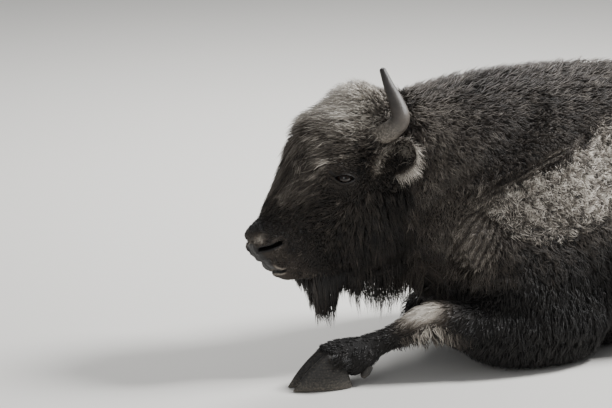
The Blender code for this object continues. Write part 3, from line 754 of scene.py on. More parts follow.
def coatTone(points, normals, label):
    x, _, z = points.T
    along, up, left = headPlaces(points).T
    tone = np.full(len(points), 0.25)
    for centre, reach, amount in patches:
        tone += amount * bell(np.linalg.norm((points - np.array(centre)) / np.array(reach), axis=1), 1.0)
    tone = tone - 0.12 * smoothStep(0.30, 0.08, z)
    tone += 0.10 * smoothStep(0.10, -0.15, x) * smoothStep(0.25, 0.40, z)
    tone += 0.12 * smoothStep(-0.01, 0.02, outlineDepth(points, bandOutline))
    wool = smoothStep(-0.006, 0.010, outlineDepth(points, woolOutline))
    # the wool is paler, and lighter still higher up, where painted sunlight falls on the shoulder blade
    tone += wool * (0.45 * smoothStep(0.32, 0.42, z) - 0.14 * near(x, -0.34, 0.07) * near(z, 0.45, 0.05)
                    + 0.22 * patchy(points, 0.045))
    # the head: pale crown and brow, a painted highlight above the nostrils and along the lips, painted shade
    # on the fold over the nose
    skull = 0.29 - 0.07 * smoothStep(0.02, -0.10, up) - 0.05 * smoothStep(0.30, 0.40, along)
    skull += 0.42 * smoothStep(0.135, -0.010, along) * smoothStep(-0.03, 0.06, up)
    skull += 0.20 * smoothStep(0.28, 0.05, along) * smoothStep(0.02, 0.09, up)
    skull += 0.14 * near(along, 0.150, 0.060) * near(up, 0.105, 0.040)
    skull += 0.15 * near(along, 0.255, 0.085) * smoothStep(0.06, 0.13, up)
    # painted highlight on the wet nose above the nostrils; the muzzle's front is paler
    skull += 0.44 * near(along, 0.416, 0.030) * near(up, 0.150, 0.020) + 0.14 * smoothStep(0.39, 0.43, along)
    # painted highlight along the edges of the lips
    gap, part = lineDistance(along, up, face["mouth"])
    lips = smoothStep(1.0, 0.80, part) * smoothStep(0.22, 0.45, part) * (along > 0.38)
    skull += 0.40 * bell(gap - 0.0062, 0.0030) * lips
    gap, part = lineDistance(along, up, face["nostril"])
    skull += 0.16 * bell(gap - 0.013, 0.005) * smoothStep(0.4, 0.8, part) * (along > 0.36)
    strip, _ = lineDistance(along, up, ((0.108, -0.020), (0.080, -0.013), (0.051, -0.014), (0.018, -0.024)))
    skull += 0.60 * bell(strip, 0.013) * smoothStep(0.08, 0.10, np.abs(left))
    # painted shade on the fold above the nostrils
    skull -= 0.20 * near(along, 0.389, 0.022) * near(up, 0.163, 0.016)
    tone = np.where(label == head, skull, tone)
    tone[label == neck] += 0.10
    for number, side in ((earLeft, 1), (earRight, -1)):
        ears = label == number
        local, _, facing, _ = earPlaces(points[ears], side)
        inside = smoothStep(0.1, 0.5, normals[ears] @ facing) * smoothStep(0.15, 0.35, local[:, 0])
        rim = np.abs(local[:, 1]) / np.interp(local[:, 0], ear["rows"][:, 0], ear["rows"][:, 1])
        tone[ears] = 0.38 - 0.30 * inside * smoothStep(0.90, 0.55, rim) * smoothStep(0.85, 0.60, local[:, 0])
        tone[ears] += 0.20 * smoothStep(0.72, 0.95, rim)
    tone[(label >= foreLeft) & (label <= hindRight)] -= 0.08
    tone = np.where(label == tail, 0.30 - 0.16 * smoothStep(0.4, 0.15, z), tone)
    return np.clip(tone, 0.02, 0.98)


def bareSkin(points, normals, label):
    # 1 on the wet nose, lips and eyelid rims
    along, up, left = headPlaces(points).T
    forward = normals @ np.array(headForward)
    pad = smoothStep(0.25, 0.55, forward) * smoothStep(0.425, 0.437, along) * smoothStep(0.050, 0.075, up)
    pad *= smoothStep(0.048, 0.036, np.abs(left) + 0.10 * np.abs(up - 0.13))
    gap, part = lineDistance(along, up, face["nostril"])
    inside = smoothStep(0.0120, 0.0080, gap + 0.003 * part) * (np.abs(left) > 0.016)
    sheen = smoothStep(0.013, 0.004, np.hypot((along - 0.411) * 0.7 + (up - 0.147) * 0.7,
                                              1.8 * ((along - 0.411) * 0.7 - (up - 0.147) * 0.7)))
    gap, part = lineDistance(along, up, face["mouth"])
    lips = smoothStep(0.0048, 0.0030, gap) * (along > 0.40) * smoothStep(1.0, 0.8, part)
    bare = np.maximum(np.maximum(pad, inside), np.maximum(lips, 0.45 * sheen))
    for side in (1, -1):
        u, v, w = eyePlaces(points, side).T
        rim = smoothStep(0.0048, 0.0026, lidOpening(u, v)) * (w > -0.01) * (np.hypot(u, v) < 0.06)
        tear = lineDistance(u, v, ((0.020, -0.001), (0.030, -0.007), (0.040, -0.018)))[0]
        tear = smoothStep(0.0045, 0.0020, tear) * (w > -0.03) * (u > 0.015) * (u < 0.045)
        bare = np.maximum(bare, np.maximum(rim, tear))
    return bare * (label == head)


def paintedHollowShade(points, label):
    # painted shade: 1 deep in the nostrils and between the lips, which are coloured near black
    along, up, left = headPlaces(points).T
    gap, part = lineDistance(along, up, face["nostril"])
    hole = smoothStep(0.0060, 0.0014, gap - 0.0018 * part) * (np.abs(left) > 0.018) * (along > 0.35)
    gap, part = lineDistance(along, up, face["mouth"])
    slit = smoothStep(0.0036, 0.0016, gap) * (along > 0.40) * smoothStep(1.0, 0.85, part)
    return np.maximum(hole, slit) * (label == head)


hidePoints = readPoints(hideMesh)
hideNormals = readNormals(hideMesh)
hideEdges = readEdges(hideMesh)
hideTone = spread(coatTone(hidePoints, hideNormals, hideLabel), hideEdges, 4)
hideBare = bareSkin(hidePoints, hideNormals, hideLabel)
setAttribute(hideMesh, "tone", hideTone)
setAttribute(hideMesh, "bare", hideBare)
setAttribute(hideMesh, "hollow", paintedHollowShade(hidePoints, hideLabel))

coatStops = [(0.0, "#0c0a09"), (0.22, "#201c19"), (0.42, "#3b342e"), (0.62, "#676058"), (0.80, "#a29a8f"),
             (1.0, "#dcd5ca")]


def hideMaterial():
    # underfur and skin: matt, streaked at 2 to 6 mm like matted hair; the wet nose is pebbled at 3 mm
    material, tree, shader = newMaterial("matted underfur over hide")
    place = addNode(tree, "TexCoord").outputs["Object"]
    tone, bare, hollow = (addNode(tree, "Attribute", attribute_name=name).outputs["Fac"]
                          for name in ("tone", "bare", "hollow"))
    streaks = addNode(tree, "Mapping", {"Vector": place, "Scale": (1.0, 1.0, 0.35)})
    fine = addNode(tree, "TexNoise", {"Vector": streaks, "Scale": 330.0, "Detail": 3.0})
    broad = addNode(tree, "TexNoise", {"Vector": place, "Scale": 24.0, "Detail": 3.0})
    varied = addNode(tree, "Math", {0: fine, 1: 0.30, 2: tone}, operation="MULTIPLY_ADD")
    varied = addNode(tree, "Math", {0: broad, 1: 0.14, 2: varied}, operation="MULTIPLY_ADD")
    varied = addNode(tree, "Math", {0: varied, 1: 0.27}, operation="SUBTRACT")
    fur = addNode(tree, "ValToRGB", {"Fac": varied}, stops=coatStops)
    pebbles = addNode(tree, "TexVoronoi", {"Vector": place, "Scale": 300.0})
    leather = addNode(tree, "ValToRGB", {"Fac": pebbles}, stops=[(0.0, "#2f2c2b"), (0.55, "#141211")])
    colour = addNode(tree, "Mix", {0: bare, 6: fur, 7: leather}, data_type="RGBA")
    # painted shade: near black deep in the nostrils and between the lips
    colour = addNode(tree, "Mix", {0: hollow, 6: colour, 7: linear("#050404")}, data_type="RGBA")
    rough = addNode(tree, "MapRange", {"Value": bare, "To Min": 0.82, "To Max": 0.55})
    furBump = addNode(tree, "Bump", {"Height": fine, "Distance": 0.004, "Strength": 0.6})
    height = addNode(tree, "Math", {0: pebbles, 1: bare}, operation="MULTIPLY")
    bump = addNode(tree, "Bump", {"Height": height, "Distance": 0.0022, "Strength": 0.5, "Normal": furBump},
                   invert=True)
    setInputs(tree, shader, {"Base Color": colour, "Roughness": rough, "Specular IOR Level": 0.35,
                             "Normal": bump})
    return material


hidePiece = newPiece("hide", hideMesh, hideMaterial())
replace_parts(hidePiece, *fleshNodes)


def furMaterial(name, roughness, sheen):
    # guard hair: keratin, so a soft shine along each lock, paler and drier towards the tips
    material, tree, shader = newMaterial(name)
    place = addNode(tree, "TexCoord").outputs["Object"]
    tone, reach = (addNode(tree, "Attribute", attribute_name=name).outputs["Fac"]
                   for name in ("tone", "reach"))
    grain = addNode(tree, "TexNoise", {"Vector": place, "Scale": 420.0, "Detail": 2.0})
    value = addNode(tree, "Math", {0: reach, 1: 0.16, 2: tone}, operation="MULTIPLY_ADD")
    value = addNode(tree, "Math", {0: grain, 1: 0.16, 2: value}, operation="MULTIPLY_ADD")
    value = addNode(tree, "Math", {0: value, 1: 0.17}, operation="SUBTRACT")
    colour = addNode(tree, "ValToRGB", {"Fac": value}, stops=coatStops)
    bump = addNode(tree, "Bump", {"Height": grain, "Distance": 0.0015, "Strength": 0.35})
    setInputs(tree, shader, {"Base Color": colour, "Roughness": roughness, "Specular IOR Level": 0.42,
                             "Sheen Weight": sheen, "Sheen Roughness": 0.4, "Normal": bump})
    return material


guardHair = furMaterial("dry guard hair", 0.48, 0.04)
woolHair = furMaterial("crimped wool", 0.62, 0.10)


def layHair(points, normals, label):
    # which way the hair points, laid flat on the hide
    x, y, z = points.T
    along, up, left = headPlaces(points).T
    lie = np.zeros_like(points)
    forward, above, leftward = headAxes
    lean = np.clip(left / 0.05, -1, 1)[:, None]
    forehead = 0.47 * forward + 0.81 * above - 0.12 * lean * leftward
    bridge = 0.90 * forward + 0.36 * above - 0.10 * lean * leftward
    crest = 1.0 * forward + 0.25 * lean * leftward
    towardNose = (smoothStep(0.10, 0.22, along) * smoothStep(0.02, 0.10, up))[:, None]
    poll = (smoothStep(0.17, 0.0, along) * smoothStep(-0.02, 0.05, up))[:, None]
    faceLie = between(forehead, bridge, towardNose)
    faceLie = between(faceLie, crest, smoothStep(0.55, 0.85, normals @ above)[:, None])
    faceLie = between(faceLie, np.array((-0.94, 0.20, -0.10)), poll)
    faceLie = between(faceLie, np.array((0.10, 0.0, -1.0)), smoothStep(0.045, -0.05, up)[:, None])
    lie[label == head] = faceLie[label == head]
    high = smoothStep(0.58, 0.74, z)[:, None]
    neckLie = between(np.array((0.42, 0.0, -0.9)), np.array((1.0, 0.0, -0.15)), high)
    lie[label == neck] = neckLie[label == neck]
    high = smoothStep(0.60, 0.76, z)[:, None]
    shoulder = smoothStep(0.10, -0.45, x)[:, None]
    sideLie = between(np.array((0.95, 0.0, -0.38)), np.array((0.55, 0.0, -0.84)), shoulder)
    trunkLie = between(sideLie, np.array((1.0, 0.0, -0.1)), high)
    trunkLie[:, 1] += np.sign(y) * 0.25 * smoothStep(0.02, 0.12, np.abs(y)) * high[:, 0]
    lie[label == trunk] = trunkLie[label == trunk]
    band = (outlineDepth(points, bandOutline) > 0) & (label <= neck)
    lie[band] = wrinkleWay(points[band])
    lie[label == foreLeft] = (-0.90, 0.0, -0.34)
    lie[(label == foreLeft) & (x > -0.60)] = (-0.25, 0.0, -0.95)
    lie[label == foreRight] = (-0.3, 0.0, -0.9)
    legs = (label == hindLeft) | (label == hindRight)
    lie[legs] = (-0.45, 0.0, -0.75)
    lie[legs & (z < 0.10)] = (-1.0, 0.0, -0.15)
    lie[legs & (x > 0.80)] = (-0.1, 0.0, -1.0)
    lie[label == tail] = (0.12, 0.10, -1.0)
    lie[(label == tail) & (z < 0.13)] = (-0.05, 1.0, -0.12)
    for number, way in ((earLeft, 1), (earRight, -1)):
        lie[label == number] = earPlaces(points[:1], way)[1]
    lie -= normals * np.sum(lie * normals, axis=1, keepdims=True)
    lie = spread(unit(lie), hideEdges, 22)
    lie -= normals * np.sum(lie * normals, axis=1, keepdims=True)
    return unit(lie)


def growth(points, label):
    # length of the hair and fullness of its curl, at each point of the hide
    x, _, z = points.T
    along, up, left = headPlaces(points).T
    length = np.full(len(points), 0.040)
    curl = np.full(len(points), 0.10)
    high = smoothStep(0.66, 0.76, z)
    shoulder = smoothStep(0.12, -0.22, x)
    body = label == trunk
    length = np.where(body, 0.034 + 0.016 * high - 0.006 * shoulder * (1 - high), length)
    curl = np.where(body, 0.08 + 0.10 * shoulder + 0.06 * high, curl)
    body = label == neck
    length = np.where(body, 0.032 + 0.020 * high + 0.040 * smoothStep(0.40, 0.27, z), length)
    curl = np.where(body, 0.20 - 0.10 * smoothStep(0.38, 0.27, z), curl)
    band = smoothStep(-0.010, 0.010, outlineDepth(points, bandOutline)) * (label <= neck)
    wool = smoothStep(-0.006, 0.006, outlineDepth(points, woolOutline)) * (label <= neck)
    length = between(between(length, 0.0105, band), 0.021, wool)
    curl = between(between(curl, 0.03, band), 0.30, wool)
    bridge = smoothStep(0.06, 0.13, up)
    skull = 0.030 + 0.026 * smoothStep(-0.02, -0.11, up) + 0.036 * smoothStep(0.10, 0.00, along) * bridge
    skull += 0.020 * bridge * smoothStep(0.30, 0.20, along) * smoothStep(0.05, 0.12, along)
    skull = skull * (1 - 0.78 * smoothStep(0.27, 0.38, along))
    lids = smoothStep(0.080, 0.036, eyeGap(along, up)) * smoothStep(0.05, 0.09, np.abs(left))
    body = label == head
    length = np.where(body, skull * (1 - 0.76 * lids), length)
    curl = np.where(body, 0.07 + 0.14 * smoothStep(0.08, 0.0, along) * bridge, curl)
    for side in (1, -1):
        part, across, front = earPlaces(points, side)[0].T
        gap = np.hypot(across, front) + 0.10 * np.maximum(np.abs(part - 0.5) - 0.5, 0)
        close = smoothStep(0.085, 0.050, gap) * (label < earLeft) * smoothStep(-0.04, 0.02, front + 0.03)
        length = length * (1 - 0.74 * close)
    length[label >= earLeft] = 0.013
    legs = (label == foreLeft) | (label == foreRight)
    upper = smoothStep(-0.70, -0.56, x) * (label == foreLeft)
    upper += smoothStep(-0.26, -0.36, x) * (label == foreRight)
    hoofSide = smoothStep(-0.76, -0.84, x) * (label == foreLeft)
    length = np.where(legs, 0.020 + 0.014 * upper - 0.008 * hoofSide, length)
    curl = np.where(legs, 0.05 + 0.06 * upper, curl)
    legs = (label == hindLeft) | (label == hindRight)
    length = np.where(legs, 0.016 + 0.016 * smoothStep(0.10, 0.26, z), length)
    return np.where(label == tail, 0.024 + 0.080 * smoothStep(0.16, 0.08, z), length), curl


hideLie = layHair(hidePoints, hideNormals, hideLabel)
hideLength, hideCurl = (spread(values, hideEdges, 10) for values in growth(hidePoints, hideLabel))
hideDepth = spread(coatDepth(hidePoints, hideNormals, hideLabel), hideEdges, 10)
hideFaces = readItems(hideMesh.polygons, "vertices", 3, np.int64)
faceCentre = hidePoints[hideFaces].mean(1)
faceLabel = hideLabel[hideFaces[:, 0]]
faceArea = areaOf(hidePoints[hideFaces])
faceNormal = hideNormals[hideFaces].mean(1)
faceBare = hideBare[hideFaces].mean(1)
faceHairy = np.ones(len(faceCentre))
for side, number in ((1, earLeft), (-1, earRight)):
    local, _, facing, _ = earPlaces(faceCentre, side)
    cup = (faceLabel == number) & (faceNormal @ facing > 0.1) & (local[:, 0] > 0.2)
    faceHairy[cup] = 0.12
    u, v, w = eyePlaces(faceCentre, side).T
    faceHairy *= 1 - smoothStep(0.0100, 0.0060, lidOpening(u, v)) * (w > -0.02)


def unwrapFaces(chosen):
    # the chosen faces of the hide laid flat over the whole square: each corner's place
    copy = addObject("unwrap", hideMesh.copy())
    copy.data.polygons.foreach_set("select", chosen)
    copy.data.uv_layers.new(name="flat")
    bpy.ops.object.select_all(action="DESELECT")
    bpy.context.view_layer.objects.active = copy
    copy.select_set(True)
    bpy.ops.object.mode_set(mode="EDIT")
    bpy.ops.mesh.select_mode(type="FACE")
    bpy.ops.object.mode_set(mode="OBJECT")
    copy.data.polygons.foreach_set("select", chosen)
    bpy.ops.object.mode_set(mode="EDIT")
    bpy.ops.uv.smart_project(angle_limit=math.radians(72), island_margin=0.002, scale_to_bounds=True)
    bpy.ops.object.mode_set(mode="OBJECT")
    flat = readItems(copy.data.uv_layers["flat"].data, "uv", 2)
    bpy.data.objects.remove(copy)
    return flat.reshape(-1, 3, 2)


tuft = {"patch": 0.003,          # side of each tuft's patch on the unwrap
        "thickness": 0.34, "taper": 0.62, "rooted": 0.0015, "floor": 0.0035, "quickShare": 0.3,
        "beyond": 0.002}         # how far tips may pass the solids' box


def tuftMesh(name, paths, widths, upward, tone, flatPlace):
    # one joined mesh of closed, three-sided tapering locks; paths is tufts x steps + 1 x 3
    count, steps = paths.shape[0], paths.shape[1] - 1
    tangents = unit(np.diff(paths, axis=1).reshape(-1, 3)).reshape(count, steps, 3)
    rings = []
    for step in range(steps):
        tangent = tangents[:, max(step - 1, 0)] + tangents[:, step]
        across = unit(np.cross(tangent, upward))
        above = unit(np.cross(across, tangent))
        half = widths[:, step, None] / 2
        middle = paths[:, step]
        rings.append(np.stack([middle + across * half, middle - across * half,
                               middle + above * half * 2 * tuft["thickness"]], axis=1))
    points = np.concatenate(rings + [paths[:, -1:]], axis=1)
    perTuft = 3 * steps + 1
    sides = ((0, 1), (1, 2), (2, 0))
    faces = [(0, 2, 1)]
    for base in range(0, 3 * (steps - 1), 3):
        for a, b in sides:
            faces += [(base + a, base + b, base + 3 + b), (base + a, base + 3 + b, base + 3 + a)]
    faces += [(perTuft - 4 + a, perTuft - 4 + b, perTuft - 1) for a, b in sides]
    corners = (np.array(faces)[None] + (np.arange(count) * perTuft)[:, None, None]).reshape(-1)
    mesh = bpy.data.meshes.new(name)
    mesh.vertices.add(count * perTuft)
    mesh.vertices.foreach_set("co", points.reshape(-1))
    mesh.loops.add(len(corners))
    mesh.loops.foreach_set("vertex_index", corners)
    mesh.polygons.add(len(corners) // 3)
    mesh.polygons.foreach_set("loop_start", np.arange(0, len(corners), 3))
    mesh.polygons.foreach_set("use_smooth", np.ones(len(corners) // 3, bool))
    mesh.update(calc_edges=True)
    reach = np.concatenate([np.repeat(np.arange(steps) / steps, 3), [1.0]])
    setAttribute(mesh, "tone", np.repeat(tone, perTuft))
    setAttribute(mesh, "reach", np.tile(reach, count))
    # the patch's own shape: across the lock and along it
    across = np.concatenate([np.tile([-0.5, 0.5, 0.0], steps), [0.0]])
    spot = np.stack([across, reach - 0.5], 1) * tuft["patch"]
    places = (flatPlace[:, None] + spot[None]).reshape(-1, 2)
    layer = mesh.uv_layers.new(name="OFBake")
    layer.data.foreach_set("uv", places[corners].reshape(-1))
    return mesh


hideTree = treeOf(hidePoints)


def hangBottom(roots, name):
    # height of the underside of the hanging hair's outline below each root
    shape = bmesh.new()
    shape.from_mesh(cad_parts[name].data)
    outline = BVHTree.FromBMesh(shape)
    shape.free()
    bottom = roots[:, 2] - 0.045
    for number, root in enumerate(roots):
        hit = outline.ray_cast(Vector((root[0], root[1], 0.0)), Vector((0, 0, 1)), 0.6)
        if hit[0]:
            bottom[number] = hit[0].z
    return bottom


# what a coat takes where its own line below says nothing; stretch and curl are shares of the hide's own
usual = {"stretch": 1.0, "curl": 1.0, "splay": 0.22, "steps": 2, "lift": 1.0, "droop": 0.0, "turns": 1.2,
         "lock": 9, "clump": 0.5, "hug": 0.8, "even": 0.55, "mottle": 0.06, "speck": 0.05, "tone": 0.0,
         "patchy": (0.030, 0.05), "longer": 0.0, "sweep": 0.0, "point": -0.72, "gather": 1.3}


def growCoat(name, chosen, changes, seed, material):
    spec = {**usual, **changes}
    amount = int(spec["amount"] * (1))
    steps = spec["steps"]
    chance = np.random.default_rng(seed)
    flat = unwrapFaces(chosen)
    pull = faceArea * chosen * (1 - np.clip(faceBare * 1.6, 0, 1)) * faceHairy
    picked = np.searchsorted(np.cumsum(pull) / pull.sum(), chance.random(amount))
    picked = np.minimum(picked, len(pull) - 1)
    spot = np.sqrt(chance.random(amount))
    share = chance.random(amount)
    mix = np.stack([1 - spot, spot * (1 - share), spot * share], 1)
    corners = hideFaces[picked]

    def atRoot(values):
        values = values[corners]
        return np.sum(values * (mix[:, :, None] if values.ndim == 3 else mix), axis=1)

    root = atRoot(hidePoints)
    normal = unit(atRoot(hideNormals))
    lie = unit(atRoot(hideLie))
    if "toward" in spec:
        targets = np.array(spec["toward"])
        lie = unit(targets[np.linalg.norm(root[:, None] - targets[None], axis=2).argmin(1)] - root)
    flatPlace = np.sum(flat[picked] * mix[:, :, None], axis=1)
    length = spec.get("long", atRoot(hideLength)) * spec["stretch"] * np.exp(chance.normal(0, 0.22, amount))
    curl = atRoot(hideCurl) * spec["curl"]
    depth = atRoot(hideDepth)
    dip = wrinkleDip(root)
    turn = chance.normal(0, spec["splay"], amount)
    lie = lie * np.cos(turn)[:, None] + np.cross(normal, lie) * np.sin(turn)[:, None]
    across = np.cross(normal, lie)
    rise = np.arcsin(np.clip(depth * spec["lift"] / length, 0.08, 0.85)) * chance.uniform(0.6, 1.15, amount)
    path = np.empty((amount, steps + 1, 3))
    path[:, 0] = root - normal * tuft["rooted"]
    hanging = "hang" in spec or "reachTo" in spec
    if "hang" in spec:
        drop = root[:, 2] - hangBottom(root, spec["hang"]) + spec["longer"]
        length = np.maximum(drop, 0.03) * chance.uniform(0.66, 1.06, amount)
    if "front" in spec:
        length *= 0.30 + 0.70 * smoothStep(spec["front"], spec["front"] + 0.065, root[:, 0])
    if "reachTo" in spec:
        length = np.maximum(root[:, 2] - spec["reachTo"], 0.02) * chance.uniform(0.22, 1.05, amount)
    for step in range(steps):
        part = (step + 0.5) / steps
        if hanging:
            way = normal * (0.3 * (1 - part) ** 3) + across * (0.16 * turn)[:, None]
            way[:, 2] -= 1.0
            way[:, 0] += spec["sweep"] + (spec["point"] - root[:, 0]) * spec["gather"]
        else:
            angle = rise * (1.45 - 0.9 * part)
            way = lie * np.cos(angle)[:, None] + normal * np.sin(angle)[:, None]
            way[:, 2] -= spec["droop"] * part
        path[:, step + 1] = path[:, step] + unit(way) * (length / steps)[:, None]
    phase = chance.random(amount) * 2 * math.pi
    for step in range(1, steps + 1):
        part = step / steps
        swing = (curl * length * part * 1.2)[:, None]
        bend = phase + part * spec["turns"] * 2 * math.pi
        path[:, step] += across * np.sin(bend)[:, None] * swing + normal * np.cos(bend)[:, None] * swing * 0.5
    # neighbouring tufts lean together into locks
    leaders = np.arange(0, amount, spec["lock"])
    tree = treeOf(root[leaders])
    follow = leaders[[tree.find(place)[1] for place in root]]
    clump = spec["clump"] * chance.uniform(0.5, 1.2, amount)
    for step in range(1, steps + 1):
        part = (step / steps) ** 1.3
        path[:, step] += (path[follow, step] - path[:, step]) * (clump * part)[:, None]
    # and lie down to the coat's depth over the hide
    if spec["hug"] and not hanging:
        tall = depth * chance.uniform(spec["even"], 1.08, amount) * spec["lift"]
        tall *= 1 - 0.6 * np.clip(dip, 0, 1)
        for step in range(1, steps + 1):
            under = [hideTree.find(place)[1] for place in path[:, step]]
            normals = hideNormals[under]
            height = np.sum((path[:, step] - hidePoints[under]) * normals, axis=1)
            wanted = tall * (step / steps) ** 0.75
            path[:, step] += normals * ((wanted - height) * spec["hug"])[:, None]
    path[:, 1:, 2] = np.maximum(path[:, 1:, 2], tuft["floor"])
    path = np.clip(path, np.array(cadBox[0]) - tuft["beyond"], np.array(cadBox[1]) + tuft["beyond"])
    width = spec["width"] * chance.uniform(0.7, 1.25, amount)
    taper = 1 - tuft["taper"] * (np.arange(steps) / steps) ** 1.4
    tint = spec["mottle"] * chance.normal(0, 1, amount)[follow] + chance.normal(0, spec["speck"], amount)
    size, contrast = spec["patchy"]
    # patchy tone, and painted shade in the band's creases with painted light on the ridges beside them
    tint += contrast * 2 * patchy(root, size) - 0.21 * dip
    tone = np.clip(atRoot(hideTone) + tint + spec["tone"], 0, 1)
    mesh = tuftMesh(name, path, width[:, None] * taper[None], normal, tone, flatPlace)
    print(f"{name}: {amount} tufts, {len(mesh.polygons)} triangles")
    return newPiece(name, mesh, material)


# which faces of the hide each coat grows on
along, up, left = headPlaces(faceCentre).T
x, y, z = faceCentre.T
isHead = faceLabel == head
crownFaces = isHead & (up > 0.0) & (along < 0.15)
jawFaces = isHead & ~crownFaces & ((up < -0.045) | (z < 0.335)) & (along < 0.45)
faceFaces = isHead & ~crownFaces & ~jawFaces & (along < 0.435)
leftSide = y < 0
normalZ = hideNormals[hideFaces[:, 0]][:, 2]
beardLow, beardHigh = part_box("beard")
throatLow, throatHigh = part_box("throat_mane")
beardFaces = isHead & (z < 0.290) & ((normalZ < -0.15) | (x > -0.985)) & (along < 0.430)
beardFaces &= (x > beardLow.x + 0.030) & (x < beardHigh.x + 0.03)
throatFaces = (isHead | (faceLabel == neck)) & (z < 0.33) & (x > throatLow.x) & (x < throatHigh.x)
throatFaces &= (y > throatLow.y - 0.01) & (y < throatHigh.y + 0.01) & (normalZ < 0.15)
fringeFaces = (faceLabel == foreLeft) & (x > -0.80) & (x < -0.60) & (z < 0.21) & (normalZ < 0.25)
forelockFaces = isHead & (along > -0.01) & (along < 0.24) & (up > 0.065)
forelockFaces &= np.hypot(along - eyePlace.x, up - eyePlace.y) >= 0.055
woolFaces = (faceLabel <= neck) & leftSide & (outlineDepth(faceCentre, woolOutline) > -0.004)
bandFaces = (faceLabel <= neck) & leftSide & (outlineDepth(faceCentre, bandOutline) > 0) & ~woolFaces
shoulders = (faceLabel == trunk) & (x < 0.0) & ~woolFaces & ~bandFaces
barrel = (faceLabel == trunk) & (x >= 0.0)
neckFaces = (faceLabel == neck) & ~woolFaces & ~bandFaces
hornRoots = [onHead(0.022, 0.022, 0.103 * side) for side in (1, -1)]
fromHorn = np.min([np.linalg.norm(faceCentre - np.array(place), axis=1) for place in hornRoots], axis=0)
hornFaces = isHead & (fromHorn > 0.022) & (fromHorn < 0.060)
hornAhead = [onHead(-0.012, 0.000, 0.185 * side) for side in (1, -1)]
middles = {name: sum(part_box(name), Vector()) / 2 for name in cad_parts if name.startswith("hoof_")}
clawSides = []      # beside each claw, so that the hair over it lies down along its wall
for name, middle in middles.items():
    other = name.replace("outer", "inner") if "outer" in name else name.replace("inner", "outer")
    clawSides.append(middle + (middle - middles[other]).normalized() * 0.042)
hoofTree = treeOf(middles.values())
fromHoof = np.full(len(faceCentre), 1.0)
legFaces = (faceLabel >= foreLeft) & (faceLabel <= hindRight) & (z < 0.14)
fromHoof[legFaces] = [hoofTree.find(place)[2] for place in faceCentre[legFaces]]
foreFaces = (faceLabel == foreLeft) | (faceLabel == foreRight)
hindFaces = (faceLabel == hindLeft) | (faceLabel == hindRight)
coats = {      # faces, seed, then tufts, width and what differs from the usual
    "coatCrown": (crownFaces, 11, dict(
        amount=8000, width=0.0034, steps=3, splay=0.20, lock=8, mottle=0.13, lift=1.1, stretch=1.15,
        speck=0.10, curl=0.7)),
    "coatFace": (faceFaces, 12, dict(amount=14000, width=0.0025, splay=0.12, mottle=0.075, speck=0.075)),
    "coatCheek": (jawFaces, 13, dict(
        amount=9500, width=0.0030, droop=0.6, clump=0.55, splay=0.12, lock=10, mottle=0.07, stretch=1.15,
        speck=0.06)),
    "coatNeckLeft": (neckFaces & leftSide, 14, dict(
        amount=11800, width=0.0031, mottle=0.05, even=0.68, lock=6, clump=0.4, speck=0.07)),
    "coatNeckRight": (neckFaces & ~leftSide, 15, dict(amount=6200, width=0.0050, mottle=0.05, even=0.65)),
    "coatShoulderLeft": (shoulders & leftSide, 16, dict(
        amount=13500, width=0.0032, clump=0.4, splay=0.30, lock=6, mottle=0.05, even=0.68, speck=0.07)),
    "coatBandLeft": (bandFaces, 32, dict(
        amount=5500, width=0.0022, clump=0.2, splay=0.10, lock=5, mottle=0.04, even=0.60, speck=0.06,
        long=0.014)),
    "coatWoolLeft": (woolFaces, 28, dict(
        amount=10000, width=0.0024, clump=0.7, splay=1.1, stretch=1.1, lock=5, mottle=0.25,
        patchy=(0.010, 0.26), turns=1.6, speck=0.09, even=0.25, lift=1.15, curl=1.4)),
    "coatShoulderRight": (shoulders & ~leftSide, 17, dict(
        amount=6600, width=0.0056, clump=0.4, splay=0.45, lock=6, mottle=0.07, curl=1.4)),
    "coatBarrelLeft": (barrel & leftSide, 18, dict(amount=9500, width=0.0051, splay=0.18)),
    "coatBarrelRight": (barrel & ~leftSide, 19, dict(amount=6600, width=0.0063, splay=0.18)),
    "coatBeard": (beardFaces, 24, dict(
        amount=2300, width=0.0033, steps=4, clump=0.55, lock=16, curl=0.5, hang="beard", point=-0.925,
        splay=0.5, tone=-0.05, front=beardLow.x + 0.020, longer=0.022, gather=1.7)),
    "coatThroat": (throatFaces, 25, dict(
        amount=1200, width=0.0025, steps=4, clump=0.55, lock=7, curl=0.8, hang="throat_mane", point=-0.76,
        splay=0.8, tone=0.04, longer=0.045)),
    "coatForelock": (forelockFaces, 26, dict(
        amount=2400, width=0.0027, steps=4, stretch=1.5, clump=0.65, lock=12, splay=0.12, curl=0.5,
        lift=1.12, tone=0.03, mottle=0.11, speck=0.09)),
    "coatHornRings": (hornFaces, 29, dict(
        amount=2600, width=0.0019, steps=3, long=0.030, clump=0.3, lock=5, toward=hornAhead, hug=0.0,
        lift=0.4, mottle=0.12, speck=0.17, curl=0.6, tone=-0.08, splay=0.35)),
    "coatForelegs": (foreFaces, 20, dict(
        amount=10000, width=0.0031, droop=0.2, mottle=0.05, speck=0.03, even=0.62)),
    "coatLegFringe": (fringeFaces, 27, dict(
        amount=900, width=0.0024, steps=4, lock=6, curl=1.8, reachTo=0.072, splay=1.4, tone=0.28,
        sweep=0.25, point=-0.73, mottle=0.12)),
    "coatCoronets": (fromHoof < 0.085, 30, dict(
        amount=2800, width=0.0020, hug=0.0, lift=0.9, long=0.034, tone=0.04, splay=0.20, toward=clawSides)),
    "coatHindlegs": (hindFaces, 21, dict(amount=4300, width=0.0049)),
    "coatTail": (faceLabel == tail, 22, dict(amount=1500, width=0.0046)),
    "coatEars": (faceLabel >= earLeft, 23, dict(
        amount=1700, width=0.0018, splay=0.25, hug=0.0, lift=0.7, mottle=0.10))}
woolly = ("coatNeck", "coatShoulder", "coatWool", "coatBand")
for name, (chosen, seed, spec) in coats.items():
    material = woolHair if name.startswith(woolly) else guardHair
    piece = growCoat(name, chosen, spec, seed, material)
    if name == "coatBeard":
        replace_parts(piece, "beard")
    if name == "coatThroat":
        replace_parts(piece, "throat_mane")


